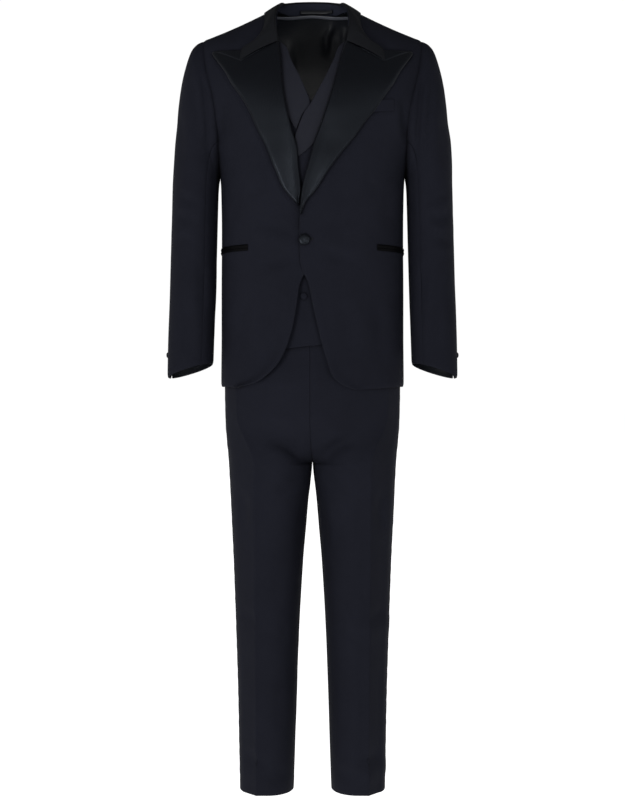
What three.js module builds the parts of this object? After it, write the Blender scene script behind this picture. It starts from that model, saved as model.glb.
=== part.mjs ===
// A three-piece evening suit, filled out as it is when worn: a one-button jacket with satin peak lapels,
// a double-breasted waistcoat with shawl lapels, and creased trousers.
// Millimetres, +Z up. The front faces -Y and the wearer's left is +X.
// The origin lies at the base of the neck, between the shoulders, where the wearer's body carries the suit.
import * as THREE from "three";

// Cloth
const WALL = 1.8; // suiting with its canvas
const SATIN_WALL = 1.5; // a lapel's facing on its canvas
const SEAM = 0.3; // clearance between pieces that are sewn together
const SEAM_HALF = 0.2; // how far fronts and backs stand from the seam line between them

// Layers, as distances out of the torso form, measured to the outer face of each piece
const LAPEL_LIFT = 3.6;
const COLLAR_LIFT = 5.6;
const POCKET_LIFT = 1.5;
const OVERLAP_LIFT = 2.5; // the left front where it lies on the right front
const VEST_OVER_LIFT = -4.8;
const VEST_UNDER_LIFT = -7.4;
const VEST_NECK_LIFT = -7; // both waistcoat layers at the shoulders and the neck
const VEST_LAPEL_WALL = 1.4;
const VEST_LAPEL_GAP = 0.5;
const WAIST_LIFT = -10.2; // trousers under the waistcoat
const HIP_LIFT = -7; // trousers below it

// Torso form: half width at the sides, depth of the front and depth of the back, at each height
const ROUND = 2.4; // exponent of the rounded sections
const YOKE = -200; // height from which the chest rounds over to the shoulder seam
const YOKE_LEVELS = 250; // how many levels the way from there to the shoulder seam counts
const TORSO = [
  { z: -900, half: 178, front: 118, back: 118 },
  { z: -740, half: 182, front: 122, back: 120 },
  { z: -640, half: 181.5, front: 119, back: 120 },
  { z: -540, half: 181.5, front: 116, back: 108 },
  { z: -440, half: 181, front: 115, back: 99 },
  { z: -380, half: 181.5, front: 118, back: 103 },
  { z: -318, half: 184, front: 122, back: 110 },
  { z: -289, half: 191, front: 124, back: 112 },
  { z: -262, half: 200, front: 125, back: 114 },
  { z: -235, half: 209, front: 126, back: 115 },
  { z: -189, half: 220, front: 126, back: 115 },
  { z: -123, half: 233, front: 120, back: 112 },
  { z: -60, half: 241, front: 106, back: 108 },
  { z: 0, half: 244, front: 92, back: 104 },
  { z: 60, half: 246, front: 80, back: 102 },
];
const CENTRE = 0.01; // where a centre seam is taken, just off the middle
const SHOULDER = { x: 217, z: -44, slope: 0.453 };
const RIDGE = 40; // half width over which the shoulder line rounds across the middle
// How far the shoulder line sags between the neck and the sleeve
const SHOULDER_DIP = { from: 80, to: 210, depth: 3 };

// Armhole: how far out its seam lies at each height
const ARMHOLE_BOTTOM = -318;
const ARMHOLE = [
  { z: -318, x: 184 },
  { z: -289, x: 184.5 },
  { z: -235, x: 188 },
  { z: -189, x: 192 },
  { z: -160, x: 198 },
  { z: -123, x: 207 },
  { z: -86, x: 214 },
  { z: -44, x: 217 },
];
const FRONT_SIDE_SEAM = 72; // degrees round the torso form from its middle front
const BACK_SIDE_SEAM = 114;
const JACKET_HEM = -733;

// Front edges from the hem's corner up the cutaway, the button stand and the roll line to the neck.
// They are given on the wearer's left, with x towards that front's own side.
const LEFT_EDGE = [
  { x: 80, z: -740 },
  { x: 56, z: -731 },
  { x: 38, z: -714 },
  { x: 28, z: -685 },
  { x: 15, z: -638 },
  { x: 4, z: -592 },
  { x: -8, z: -534 },
  { x: -19, z: -512 },
  { x: -24, z: -488 },
  { x: -25, z: -440 },
  { x: -24, z: -398 },
  { x: -18, z: -352 },
  { x: -4, z: -298 },
  { x: 16, z: -236 },
  { x: 35, z: -176 },
  { x: 50, z: -123 },
  { x: 67, z: -61 },
  { x: 75, z: -8 },
  { x: 77, z: 19.4 },
];
const RIGHT_EDGE = [
  { x: 138, z: -735 },
  { x: 106, z: -727 },
  { x: 85, z: -712 },
  { x: 67, z: -692 },
  { x: 52, z: -664 },
  { x: 40, z: -627 },
  { x: 32, z: -586 },
  { x: 24, z: -534 },
  { x: 8, z: -505 },
  { x: -12, z: -480 },
  { x: -20, z: -440 },
  { x: -16, z: -400 },
  { x: 14, z: -352 },
  { x: 30, z: -303 },
  { x: 33, z: -272 },
  { x: 42, z: -238 },
  { x: 52, z: -201 },
  { x: 60, z: -152 },
  { x: 64, z: -109 },
  { x: 70, z: -61 },
  { x: 75, z: -8 },
  { x: 77, z: 19.4 },
];

// Lapels: the roll at the inner edge and the outer edge, paired from the bottom to the gorge
const LEFT_LAPEL = [
  { rollX: -24, rollZ: -397, outX: -21, outZ: -401 },
  { rollX: -23, rollZ: -378, outX: -13, outZ: -378 },
  { rollX: -20.5, rollZ: -353, outX: 7, outZ: -353 },
  { rollX: -15, rollZ: -328, outX: 30, outZ: -317 },
  { rollX: -6.5, rollZ: -297, outX: 55, outZ: -283 },
  { rollX: 3, rollZ: -262, outX: 78, outZ: -255 },
  { rollX: 13, rollZ: -236, outX: 103, outZ: -220 },
  { rollX: 24, rollZ: -204, outX: 120, outZ: -200 },
  { rollX: 33, rollZ: -176, outX: 138, outZ: -173 },
  { rollX: 41.5, rollZ: -147, outX: 156, outZ: -147 },
  { rollX: 47.5, rollZ: -123, outX: 170, outZ: -121 },
  { rollX: 56, rollZ: -91, outX: 196, outZ: -77 },
  { rollX: 64.5, rollZ: -63, outX: 140, outZ: -103 },
];
const RIGHT_LAPEL = [
  { rollX: 26, rollZ: -385, outX: 28, outZ: -383 },
  { rollX: 24.5, rollZ: -370, outX: 45, outZ: -365 },
  { rollX: 22, rollZ: -353, outX: 58, outZ: -346 },
  { rollX: 25.5, rollZ: -320, outX: 68, outZ: -322 },
  { rollX: 27.5, rollZ: -303, outX: 76, outZ: -303 },
  { rollX: 30, rollZ: -272, outX: 88, outZ: -272 },
  { rollX: 39.5, rollZ: -238, outX: 106, outZ: -236 },
  { rollX: 49, rollZ: -201, outX: 121, outZ: -203 },
  { rollX: 55, rollZ: -170, outX: 138, outZ: -173 },
  { rollX: 58, rollZ: -147, outX: 156, outZ: -147 },
  { rollX: 60, rollZ: -123, outX: 170, outZ: -121 },
  { rollX: 62.5, rollZ: -91, outX: 196, outZ: -77 },
  { rollX: 66.5, rollZ: -63, outX: 140, outZ: -103 },
];

// Collar: its fold line and the outer edge of its leaf, from the gorge to the centre back. The edge lies on
// the jacket, on its front or its back. The bulge is how far the leaf rounds out between them.
const COLLAR = [
  { foldX: 66, foldY: -92, foldZ: -61, edgeX: 140, edgeZ: -101, edgeSide: -1, bulge: 5 },
  { foldX: 68, foldY: -90, foldZ: -48, edgeX: 135, edgeZ: -76, edgeSide: -1, bulge: 5 },
  { foldX: 70, foldY: -85, foldZ: -33, edgeX: 116, edgeZ: -64, edgeSide: -1, bulge: 5 },
  { foldX: 72, foldY: -75, foldZ: -13, edgeX: 99, edgeZ: -42, edgeSide: -1, bulge: 3 },
  { foldX: 72, foldY: -58, foldZ: 8, edgeX: 94, edgeZ: -20, edgeSide: -1, bulge: 2 },
  { foldX: 69, foldY: -32, foldZ: 24, edgeX: 94, edgeZ: 2, edgeSide: -1, bulge: 1 },
  { foldX: 65, foldY: -4, foldZ: 33, edgeX: 95, edgeZ: 11.2, edgeSide: -1, bulge: 1 },
  { foldX: 60.5, foldY: 24, foldZ: 40, edgeX: 92, edgeZ: 4, edgeSide: 1, bulge: 1 },
  { foldX: 50, foldY: 47, foldZ: 46, edgeX: 76, edgeZ: -4, edgeSide: 1, bulge: 2 },
  { foldX: 32, foldY: 63, foldZ: 50, edgeX: 44, edgeZ: -1, edgeSide: 1, bulge: 2 },
  { foldX: 0, foldY: 69, foldZ: 52, edgeX: 0, edgeZ: 3, edgeSide: 1, bulge: 2 },
];
const STAND_START = 3; // the row of the collar's table where its stand begins
const STAND_RISE = 0.8; // its clearance above the neckline that it is sewn to
const STAND_FRONT = [
  { x: 71.5, z: -27 },
  { x: 73.4, z: -12 },
  { x: 74.8, z: 3 },
  { x: 75.6, z: 14 },
];
// The back neckline, whose drop is the power by which it falls from the shoulder
const BACK_NECK = { x: 77, rise: 12, drop: 2.2 };
// The hanging loop, placed by shares of the stand's length and height
const LOOP = { from: 0.38, to: 0.56, low: 0.36, high: 0.55, thick: 1.2 };

// Pockets
const WELT = { innerX: 108, outerX: 158, innerZ: -204, outerZ: -198, height: 22 };
const JET = { frontX: 126, backAngle: 104, z: -463, drop: 3, height: 12, lip: 1 };

// Buttons, covered in satin
const FRONT_BUTTON = { diameter: 22, thick: 5, x: -15.5, z: -450 };
const VEST_BUTTON = { diameter: 14, thick: 3.5, x: -17, z: -559 };
const CUFF_BUTTON = { diameter: 11.5, thick: 5, share: 0.945, angle: -14 };

// Sleeve rings: the outermost and innermost point of each, its half depth and the depth of its middle.
// The share is how much of the armhole's own outline the ring still has.
const SLEEVE = [
  { outX: 217, outZ: -44, inX: 184, inZ: -318, deep: 70, y: 0, share: 1 },
  { outX: 231, outZ: -51, inX: 184.6, inZ: -319.5, deep: 71.5, y: 0, share: 0.8 },
  { outX: 243, outZ: -67, inX: 185, inZ: -321, deep: 73, y: 0, share: 0.55 },
  { outX: 254, outZ: -100, inX: 185.5, inZ: -323, deep: 73, y: 0, share: 0.3 },
  { outX: 262, outZ: -136, inX: 186, inZ: -326, deep: 72, y: 0, share: 0.12 },
  { outX: 269, outZ: -190, inX: 186.5, inZ: -330, deep: 71, y: 0, share: 0 },
  { outX: 275, outZ: -252, inX: 187, inZ: -337, deep: 70, y: 0, share: 0 },
  { outX: 279, outZ: -325, inX: 188, inZ: -352, deep: 69, y: 1, share: 0 },
  { outX: 281, outZ: -400, inX: 189.5, inZ: -404, deep: 66, y: 2, share: 0 },
  { outX: 283, outZ: -470, inX: 191, inZ: -468, deep: 61, y: 1, share: 0 },
  { outX: 285, outZ: -560, inX: 193, inZ: -552, deep: 56, y: -5, share: 0 },
  { outX: 287, outZ: -640, inX: 195, inZ: -624, deep: 51, y: -17, share: 0 },
  { outX: 287.5, outZ: -714, inX: 196.5, inZ: -687, deep: 46, y: -28, share: 0 },
];
const SLEEVE_ROUND = 2.15;
const FORE_SEAM = 122; // degrees round the sleeve from its outermost line towards the front
const HIND_SEAM = { top: -80, cuff: -30 };
const VENT_NOTCH = 7; // how far the top sleeve's hem rises at the vent
// The sleeve's hem is lower behind the arm than in front of it
const CUFF_SLANT = { from: 0.75, slope: 5.5, drop: 1.5 };

// Waistcoat
const VEST_SIDE_HEM = -612;
const VEST_BACK_HEM = -618;
const VEST_SIDE_SHARE = 0.375; // share of its rows that lies below its armhole
const VEST_ARMHOLE = [
  { z: -345, x: 182.5 },
  { z: -300, x: 176 },
  { z: -235, x: 168 },
  { z: -160, x: 164 },
  { z: -80, x: 168 },
  { z: -24, x: 172 },
];
const VEST_ARMHOLE_BOTTOM = -345;
const VEST_SHOULDER = { x: 172, neck: 88, rise: 25 };
const VEST_LEFT_EDGE = [
  { x: -64, z: -662 },
  { x: -64, z: -560 },
  { x: -58, z: -420 },
  { x: -44, z: -320 },
  { x: -32, z: -262 },
  { x: -27, z: -235 },
  { x: -16, z: -207 },
  { x: -2, z: -186 },
  { x: 22, z: -141 },
  { x: 41, z: -101 },
  { x: 52, z: -72 },
  { x: 69, z: -56 },
  { x: 83, z: -20 },
  { x: 88, z: 14.4 },
];
const VEST_RIGHT_EDGE = [
  { x: -40, z: -640 },
  { x: -42, z: -560 },
  { x: -40, z: -420 },
  { x: -30, z: -300 },
  { x: -10, z: -215 },
  { x: 2, z: -186 },
  { x: 22, z: -141 },
  { x: 41, z: -101 },
  { x: 52, z: -72 },
  { x: 69, z: -56 },
  { x: 83, z: -20 },
  { x: 88, z: 14.4 },
];
const VEST_LEFT_LAPEL = [
  { rollX: -28.5, rollZ: -291, outX: -27, outZ: -289 },
  { rollX: -34, rollZ: -257, outX: -11, outZ: -277 },
  { rollX: -28, rollZ: -235, outX: 14, outZ: -252 },
  { rollX: -16, rollZ: -206, outX: 36, outZ: -222 },
  { rollX: -2, rollZ: -185, outX: 54, outZ: -190 },
  { rollX: 22, rollZ: -140, outX: 74, outZ: -146 },
  { rollX: 41, rollZ: -100, outX: 88, outZ: -104 },
  { rollX: 51.5, rollZ: -71, outX: 96, outZ: -70 },
  { rollX: 69, rollZ: -55, outX: 101, outZ: -52 },
];
const VEST_RIGHT_LAPEL = [
  { rollX: 31, rollZ: -236, outX: 33, outZ: -236 },
  { rollX: 19.5, rollZ: -208, outX: 47, outZ: -212 },
  { rollX: 5.5, rollZ: -187, outX: 58, outZ: -185 },
  { rollX: 22, rollZ: -140, outX: 74, outZ: -146 },
  { rollX: 41, rollZ: -100, outX: 88, outZ: -104 },
  { rollX: 51.5, rollZ: -71, outX: 96, outZ: -70 },
  { rollX: 69, rollZ: -55, outX: 101, outZ: -52 },
];

// Trousers: each leg's outer and inner side and its half depth, then the seat above the crotch
const WAIST = -583;
const WAISTBAND = 38;
const CROTCH = -886;
const SEAT = -786; // height where the legs have merged into one seat
const HEM = -1535;
const FLY_X = -5;
const LEG = [
  { z: -1535, outer: 145, inner: 37.5, deep: 76, y: 6 },
  { z: -1464, outer: 146.5, inner: 35, deep: 77, y: 5 },
  { z: -1336, outer: 149, inner: 31, deep: 80, y: 4 },
  { z: -1208, outer: 153, inner: 26, deep: 85, y: 2 },
  { z: -1080, outer: 157.5, inner: 18.5, deep: 92, y: 0 },
  { z: -1016, outer: 160.5, inner: 13, deep: 96, y: 0 },
  { z: -952, outer: 163.5, inner: 7.5, deep: 101, y: 0 },
  { z: -886, outer: 167, inner: 0.4, deep: 106, y: 0 },
  { z: -780, outer: 173, inner: 0.4, deep: 110, y: 0 },
  { z: -583, outer: 173, inner: 0.4, deep: 110, y: 0 },
];
const LEG_ROUND = 2.1;
const CREASE = { height: 4.5, width: 16, angle: 16 }; // pressed ridge, in mm and degrees round the leg

// Materials
const finishes = {
  wool: new THREE.MeshStandardMaterial({ color: 0x1e2029, roughness: 0.85, metalness: 0 }),
  satin: new THREE.MeshStandardMaterial({ color: 0x23272d, roughness: 0.4, metalness: 0 }),
  lining: new THREE.MeshStandardMaterial({ color: 0x2e323a, roughness: 0.45, metalness: 0 }),
};

// A smooth function of height through one column of a table whose rows go up or down in z.
function column(rows, key) {
  const points = rows.map((row) => [row.z, row[key]]).sort((a, b) => a[0] - b[0]);
  const slopes = points.map((point, i) => {
    const before = points[Math.max(0, i - 1)];
    const after = points[Math.min(points.length - 1, i + 1)];
    return (after[1] - before[1]) / (after[0] - before[0]);
  });
  return (z) => {
    const last = points.length - 1;
    if (z <= points[0][0]) return points[0][1];
    if (z >= points[last][0]) return points[last][1];
    let i = 0;
    while (z > points[i + 1][0]) i += 1;
    const span = points[i + 1][0] - points[i][0];
    const t = (z - points[i][0]) / span;
    const rise = points[i + 1][1] - points[i][1];
    const start = slopes[i] * span;
    const end = slopes[i + 1] * span;
    const bend = (3 * rise - 2 * start - end) * t ** 2 + (start + end - 2 * rise) * t ** 3;
    return points[i][1] + start * t + bend;
  };
}

const halfAt = column(TORSO, "half");
const frontAt = column(TORSO, "front");
const backAt = column(TORSO, "back");
const armholeX = column(ARMHOLE, "x");
const vestArmholeX = column(VEST_ARMHOLE, "x");

const radians = THREE.MathUtils.degToRad;
const mix = THREE.MathUtils.lerp;
const smooth = THREE.MathUtils.smoothstep;

// Height of the shoulder seam at a distance x from the middle.
function seamHeight(x) {
  const off = Math.abs(x);
  const reach = off < RIDGE ? (off * off) / (2 * RIDGE) + RIDGE / 2 : off;
  const { from, to, depth } = SHOULDER_DIP;
  const dip = depth * Math.sin(Math.PI * THREE.MathUtils.clamp((off - from) / (to - from), 0, 1));
  return SHOULDER.z + SHOULDER.slope * (SHOULDER.x - reach) - dip;
}

function riseShare(x, z) {
  return Math.max(0, (z - YOKE) / (seamHeight(x) - YOKE));
}

// Zero on the torso form and more outside it.
function torsoField(x, y, z) {
  const depth = y < 0 ? frontAt(z) : backAt(z);
  const across = (Math.abs(x) / halfAt(z)) ** ROUND;
  const rise = riseShare(x, z) ** ROUND;
  return (Math.abs(y) / depth) ** ROUND - (1 - across) * (1 - rise);
}

function outward(point) {
  const step = 0.25;
  const { x, y, z } = point;
  return new THREE.Vector3(
    torsoField(x + step, y, z) - torsoField(x - step, y, z),
    torsoField(x, y + step, z) - torsoField(x, y - step, z),
    torsoField(x, y, z + step) - torsoField(x, y, z - step),
  ).normalize();
}

// A place on the torso form: an angle round it from the middle front, and a level. Below the yoke the level
// is the height from it, and above it the level runs from 0 to YOKE_LEVELS at the shoulder seam.
function spotAt(x, z, side) {
  const turned = Math.asin(Math.min(1, Math.abs(x) / halfAt(z)) ** (ROUND / 2));
  const angle = side < 0 ? turned : Math.PI - turned;
  const rise = Math.min(1, riseShare(x, z));
  const level = z <= YOKE ? z - YOKE : (YOKE_LEVELS * Math.asin(rise ** (ROUND / 2)) * 2) / Math.PI;
  return { angle: Math.sign(x || 1) * angle, level };
}

function spotRound(degrees, z) {
  return { angle: radians(degrees), level: z - YOKE };
}

function between(a, b, share) {
  return { angle: mix(a.angle, b.angle, share), level: mix(a.level, b.level, share) };
}

function onTorso(spot, lift) {
  const sine = Math.sin(spot.angle);
  const across = Math.sign(sine) * Math.abs(sine) ** (2 / ROUND);
  const reach = Math.min(1, spot.level / YOKE_LEVELS);
  const rise = spot.level > 0 ? Math.sin((reach * Math.PI) / 2) ** (2 / ROUND) : 0;
  let z = YOKE + Math.min(0, spot.level);
  let x = halfAt(z) * across;
  for (let pass = 0; pass < 12 && spot.level > 0; pass += 1) {
    z = YOKE + (seamHeight(x) - YOKE) * rise;
    x = halfAt(z) * across;
  }
  const cosine = Math.cos(spot.angle);
  const depth = cosine > 0 ? -frontAt(z) : backAt(z);
  const y = depth * (Math.abs(cosine) ** 2 * (1 - rise ** ROUND)) ** (1 / ROUND);
  const point = new THREE.Vector3(x, y, z);
  return point.addScaledVector(outward(point), lift);
}

// A wall of cloth: place(s, t, inside) gives a point of its outer or its inner face.
function wall(name, finish, columns, rows, place) {
  const positions = [];
  const triangles = [];
  const width = columns + 1;
  const layer = width * (rows + 1);
  for (const inside of [false, true]) {
    for (let j = 0; j <= rows; j += 1) {
      for (let i = 0; i <= columns; i += 1) {
        const point = place(i / columns, j / rows, inside);
        positions.push(point.x, point.y, point.z);
      }
    }
  }
  const quad = (a, b, c, d) => triangles.push(a, b, c, a, c, d);
  for (let j = 0; j < rows; j += 1) {
    for (let i = 0; i < columns; i += 1) {
      const a = j * width + i;
      quad(a, a + 1, a + 1 + width, a + width);
      quad(layer + a, layer + a + width, layer + a + 1 + width, layer + a + 1);
    }
  }
  for (let i = 0; i < columns; i += 1) {
    const top = rows * width + i;
    quad(i + 1, i, layer + i, layer + i + 1);
    quad(top, top + 1, layer + top + 1, layer + top);
  }
  for (let j = 0; j < rows; j += 1) {
    const start = j * width;
    const end = start + columns;
    quad(start, start + width, layer + start + width, layer + start);
    quad(end + width, end, layer + end, layer + end + width);
  }
  return solid(name, finish, positions, triangles);
}

function signedVolume(positions, triangles) {
  const corner = (i) => new THREE.Vector3().fromArray(positions, 3 * i);
  let sum = 0;
  for (let i = 0; i < triangles.length; i += 3) {
    const a = corner(triangles[i]);
    sum += a.dot(corner(triangles[i + 1]).cross(corner(triangles[i + 2]))) / 6;
  }
  return sum;
}

function solid(name, finish, positions, triangles) {
  const geometry = new THREE.BufferGeometry();
  if (signedVolume(positions, triangles) < 0) triangles.reverse();
  geometry.setAttribute("position", new THREE.Float32BufferAttribute(positions, 3));
  geometry.setIndex(triangles);
  geometry.computeVertexNormals();
  const mesh = new THREE.Mesh(geometry, finishes[finish].clone());
  mesh.name = name;
  return mesh;
}

// A curve through the x and z columns of a table, mirrored for the wearer's right.
function edgeCurve(rows, hand) {
  return new THREE.SplineCurve(rows.map((row) => new THREE.Vector2(hand * row.x, row.z)));
}

function spotOnCurve(curve, share, side) {
  const point = curve.getPointAt(THREE.MathUtils.clamp(share, 0, 1));
  return spotAt(point.x, Math.min(point.y, seamHeight(point.x)), side);
}

// The armhole's seam, by degrees round it from the top. The front half is under 180, the back half over it.
function armholeSpot(degrees, hand) {
  const middle = (SHOULDER.z + ARMHOLE_BOTTOM) / 2;
  const reach = (SHOULDER.z - ARMHOLE_BOTTOM) / 2;
  const z = middle + reach * Math.cos(radians(degrees));
  const x = Math.min(armholeX(z), halfAt(z));
  const side = Math.sin(radians(degrees)) >= 0 ? -1 : 1;
  return spotAt(hand * x, z, side);
}

// Degrees round the armhole where its seam lies at an angle round the torso.
function armholeDegrees(torsoAngle) {
  const front = torsoAngle < 90;
  const wanted = radians(torsoAngle);
  let low = front ? 90 : 180;
  let high = front ? 180 : 270;
  for (let pass = 0; pass < 40; pass += 1) {
    const middle = (low + high) / 2;
    if (armholeSpot(middle, 1).angle < wanted) low = middle;
    else high = middle;
  }
  return (low + high) / 2;
}
const FRONT_MEETS = armholeDegrees(FRONT_SIDE_SEAM);
const BACK_MEETS = armholeDegrees(BACK_SIDE_SEAM);
const SIDE_ROWS = 13; // rows of each jacket panel below the armhole
const FRONT_ROWS = 11; // and above it
const BACK_ROWS = 10;
const BACK_COLUMNS = 10;
const NECK_COLUMNS = 4; // of those, the ones along the neckline

// The side seam and then the armhole, from the hem up to the shoulder point.
function sideEdge(share, sideShare, degrees, meets, top, hand) {
  const low = spotRound(hand * degrees, JACKET_HEM);
  const high = armholeSpot(meets, hand);
  if (share <= sideShare) return between(low, high, share / sideShare);
  return armholeSpot(mix(meets, top, (share - sideShare) / (1 - sideShare)), hand);
}

// How far the left front stands out where it lies on the right one.
function overlapLift(point) {
  const across = 1 - smooth(point.x, 20, 62);
  const up = 1 - smooth(point.z, -330, -235);
  return OVERLAP_LIFT * across * up;
}

// A place on the jacket's front, on whichever layer of it the given hand wears.
function onFront(spot, lift, hand) {
  const flat = onTorso(spot, 0);
  const extra = hand > 0 ? overlapLift(flat) : 0;
  return onTorso(spot, lift + extra);
}

function shifted(mesh, x, y) {
  mesh.position.set(x, y, 0);
  return mesh;
}

function jacketFront(hand) {
  const name = hand > 0 ? "jacket_front_left" : "jacket_front_right";
  const edge = edgeCurve(hand > 0 ? LEFT_EDGE : RIGHT_EDGE, hand);
  const rows = SIDE_ROWS + FRONT_ROWS;
  const place = (s, t, inside) => {
    const inner = spotOnCurve(edge, t, -1);
    const outer = sideEdge(t, SIDE_ROWS / rows, FRONT_SIDE_SEAM, FRONT_MEETS, 0, hand);
    return onFront(between(inner, outer, s), inside ? -WALL : 0, hand);
  };
  return shifted(wall(name, "wool", 9, rows, place), 0, -SEAM_HALF);
}

function jacketSide(hand) {
  const name = hand > 0 ? "jacket_side_left" : "jacket_side_right";
  const place = (s, t, inside) => {
    const low = spotRound(hand * mix(FRONT_SIDE_SEAM, BACK_SIDE_SEAM, s), JACKET_HEM);
    const high = armholeSpot(mix(FRONT_MEETS, BACK_MEETS, s), hand);
    return onTorso(between(low, high, t), inside ? -WALL : 0);
  };
  return wall(name, "wool", 6, SIDE_ROWS, place);
}

// The back neckline, from the centre back (share 0) to the shoulder seam (share 1).
function neckSpot(share, hand) {
  const centre = spotAt(hand * CENTRE, BACK_NECK.rise, 1);
  const neck = spotAt(hand * BACK_NECK.x, seamHeight(BACK_NECK.x), 1);
  const turned = between(centre, neck, share);
  return { angle: turned.angle, level: mix(centre.level, neck.level, share ** BACK_NECK.drop) };
}

function jacketBack(hand) {
  const name = hand > 0 ? "jacket_back_left" : "jacket_back_right";
  const neckShare = NECK_COLUMNS / BACK_COLUMNS;
  const rows = SIDE_ROWS + BACK_ROWS;
  const sideShare = SIDE_ROWS / rows;
  const topEdge = (s) => {
    if (s <= neckShare) return neckSpot(s / neckShare, hand);
    const seamSpot = between(neckSpot(1, hand), armholeSpot(360, hand), (s - neckShare) / (1 - neckShare));
    return { angle: seamSpot.angle, level: YOKE_LEVELS };
  };
  const place = (s, t, inside) => {
    const low = spotAt(hand * CENTRE, JACKET_HEM, 1);
    const upper = (t - sideShare) / (1 - sideShare);
    const level = upper < 0 ? mix(low.level, 0, t / sideShare) : mix(0, topEdge(0).level, upper);
    const outer = sideEdge(t, sideShare, BACK_SIDE_SEAM, BACK_MEETS, 360, hand);
    const spot = between({ angle: low.angle, level }, outer, s);
    const straight = between(topEdge(0), topEdge(1), s);
    const pull = smooth(t, sideShare, 1);
    spot.angle += pull * (topEdge(s).angle - straight.angle);
    spot.level += pull * (topEdge(s).level - straight.level);
    return onTorso(spot, inside ? -WALL : 0);
  };
  return shifted(wall(name, "wool", BACK_COLUMNS, rows, place), hand * SEAM_HALF, SEAM_HALF);
}

// A lapel lies on its front, from the roll at its inner edge (s 0) to its outer edge (s 1).
function lapelSpot(rows, hand, s, t) {
  const curveOf = (x, z) => {
    return new THREE.SplineCurve(rows.map((row) => new THREE.Vector2(hand * row[x], row[z])));
  };
  const roll = curveOf("rollX", "rollZ").getPoint(t);
  const out = curveOf("outX", "outZ").getPoint(t);
  return spotAt(mix(roll.x, out.x, s), mix(roll.y, out.y, s), -1);
}

function jacketLapel(hand) {
  const name = hand > 0 ? "lapel_left" : "lapel_right";
  const rows = hand > 0 ? LEFT_LAPEL : RIGHT_LAPEL;
  const place = (s, t, inside) => {
    const lift = inside ? LAPEL_LIFT - SATIN_WALL : LAPEL_LIFT;
    return onFront(lapelSpot(rows, hand, s, t), lift, hand);
  };
  return shifted(wall(name, "satin", 4, rows.length * 2 - 2, place), 0, -SEAM_HALF);
}

// The collar's fold line, from the left gorge (share 0) round the back to the right one (share 1).
function foldPoint(share) {
  const points = COLLAR.map((row) => new THREE.Vector3(row.foldX, row.foldY, row.foldZ));
  const mirrored = points.slice(0, -1).reverse().map((p) => p.clone().setX(-p.x));
  return new THREE.CatmullRomCurve3([...points, ...mirrored]).getPoint(share);
}

function collarEdge(share) {
  const span = (COLLAR.length - 1) * 2;
  const place = Math.min(1, Math.max(0, share)) * span;
  const pick = (i) => {
    const row = COLLAR[i <= span / 2 ? i : span - i];
    const hand = i <= span / 2 ? 1 : -1;
    const spot = spotAt(hand * row.edgeX, Math.min(row.edgeZ, seamHeight(row.edgeX)), row.edgeSide);
    return onTorso(spot, COLLAR_LIFT - 1.5);
  };
  const low = Math.min(span - 1, Math.floor(place));
  return pick(low).lerp(pick(low + 1), place - low);
}

function collarBulge(share) {
  const middle = COLLAR.length - 1;
  const place = middle * (1 - Math.abs(2 * share - 1));
  const low = Math.min(middle - 1, Math.floor(place));
  return mix(COLLAR[low].bulge, COLLAR[low + 1].bulge, place - low);
}

function collarLeaf() {
  const columns = (COLLAR.length - 1) * 2;
  const steps = [0, 0.04, 0.12, 0.35, 0.6, 0.8, 1];
  const place = (s, t, inside) => {
    const fold = foldPoint(s);
    const edge = collarEdge(s);
    const normal = outward(fold);
    const step = steps[Math.round(t * (steps.length - 1))];
    const lift = collarBulge(s) * 4 * step * (1 - step) + 1.9 * Math.min(1, step / 0.12);
    const outer = fold.clone().lerp(edge, step).addScaledVector(normal, lift);
    if (!inside) return outer;
    const down = edge.clone().sub(fold).normalize();
    const turn = step < 0.1 ? down.multiplyScalar(WALL) : normal.clone().multiplyScalar(-WALL);
    return outer.add(turn);
  };
  return wall("collar_leaf", "wool", columns, steps.length - 1, place);
}

// The stand's seam to the neckline, from its left front end round the back to its right one.
function standSeam() {
  const neckShares = [1, 0.75, 0.5, 0.25, 0];
  const seamPoints = [
    ...STAND_FRONT.map((row) => onTorso(spotAt(row.x, row.z, -1), 0)),
    ...neckShares.map((share) => onTorso(neckSpot(share, 1), 0)),
  ];
  for (const point of seamPoints) point.z += STAND_RISE;
  const mirrored = seamPoints.slice(0, -1).reverse().map((p) => p.clone().setX(-p.x));
  return new THREE.CatmullRomCurve3([...seamPoints, ...mirrored]);
}
const STAND_SEAM = standSeam();

// A point of the stand, s round the neck and t up from its seam, at a depth towards the neck.
function onStand(s, t, depth) {
  const startShare = STAND_START / ((COLLAR.length - 1) * 2);
  const top = foldPoint(mix(startShare, 1 - startShare, s));
  const normal = outward(top);
  const low = STAND_SEAM.getPoint(s);
  const down = low.clone().sub(top).normalize();
  top.addScaledVector(down, WALL + SEAM + 1.4).addScaledVector(normal, -SEAM);
  const level = new THREE.Vector3(normal.x, normal.y, 0).normalize();
  return top.lerp(low, 1 - t).addScaledVector(level, -depth);
}

function collarStand() {
  const place = (s, t, inside) => onStand(s, t, inside ? WALL : 0);
  return wall("collar_stand", "wool", 32, 2, place);
}

function hangerLoop() {
  const place = (s, t, inside) => {
    const round = mix(LOOP.from, LOOP.to, s);
    const up = mix(LOOP.low, LOOP.high, t);
    return onStand(round, up, WALL + 2 * SEAM + (inside ? 0 : LOOP.thick));
  };
  return wall("hanger_loop", "satin", 8, 1, place);
}

function breastWelt() {
  const place = (s, t, inside) => {
    const x = mix(WELT.innerX, WELT.outerX, s);
    const z = mix(WELT.innerZ, WELT.outerZ, s) + WELT.height * t;
    return onFront(spotAt(x, z, -1), inside ? SEAM : POCKET_LIFT, 1);
  };
  return shifted(wall("breast_welt", "wool", 4, 2, place), 0, -SEAM_HALF);
}

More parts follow.
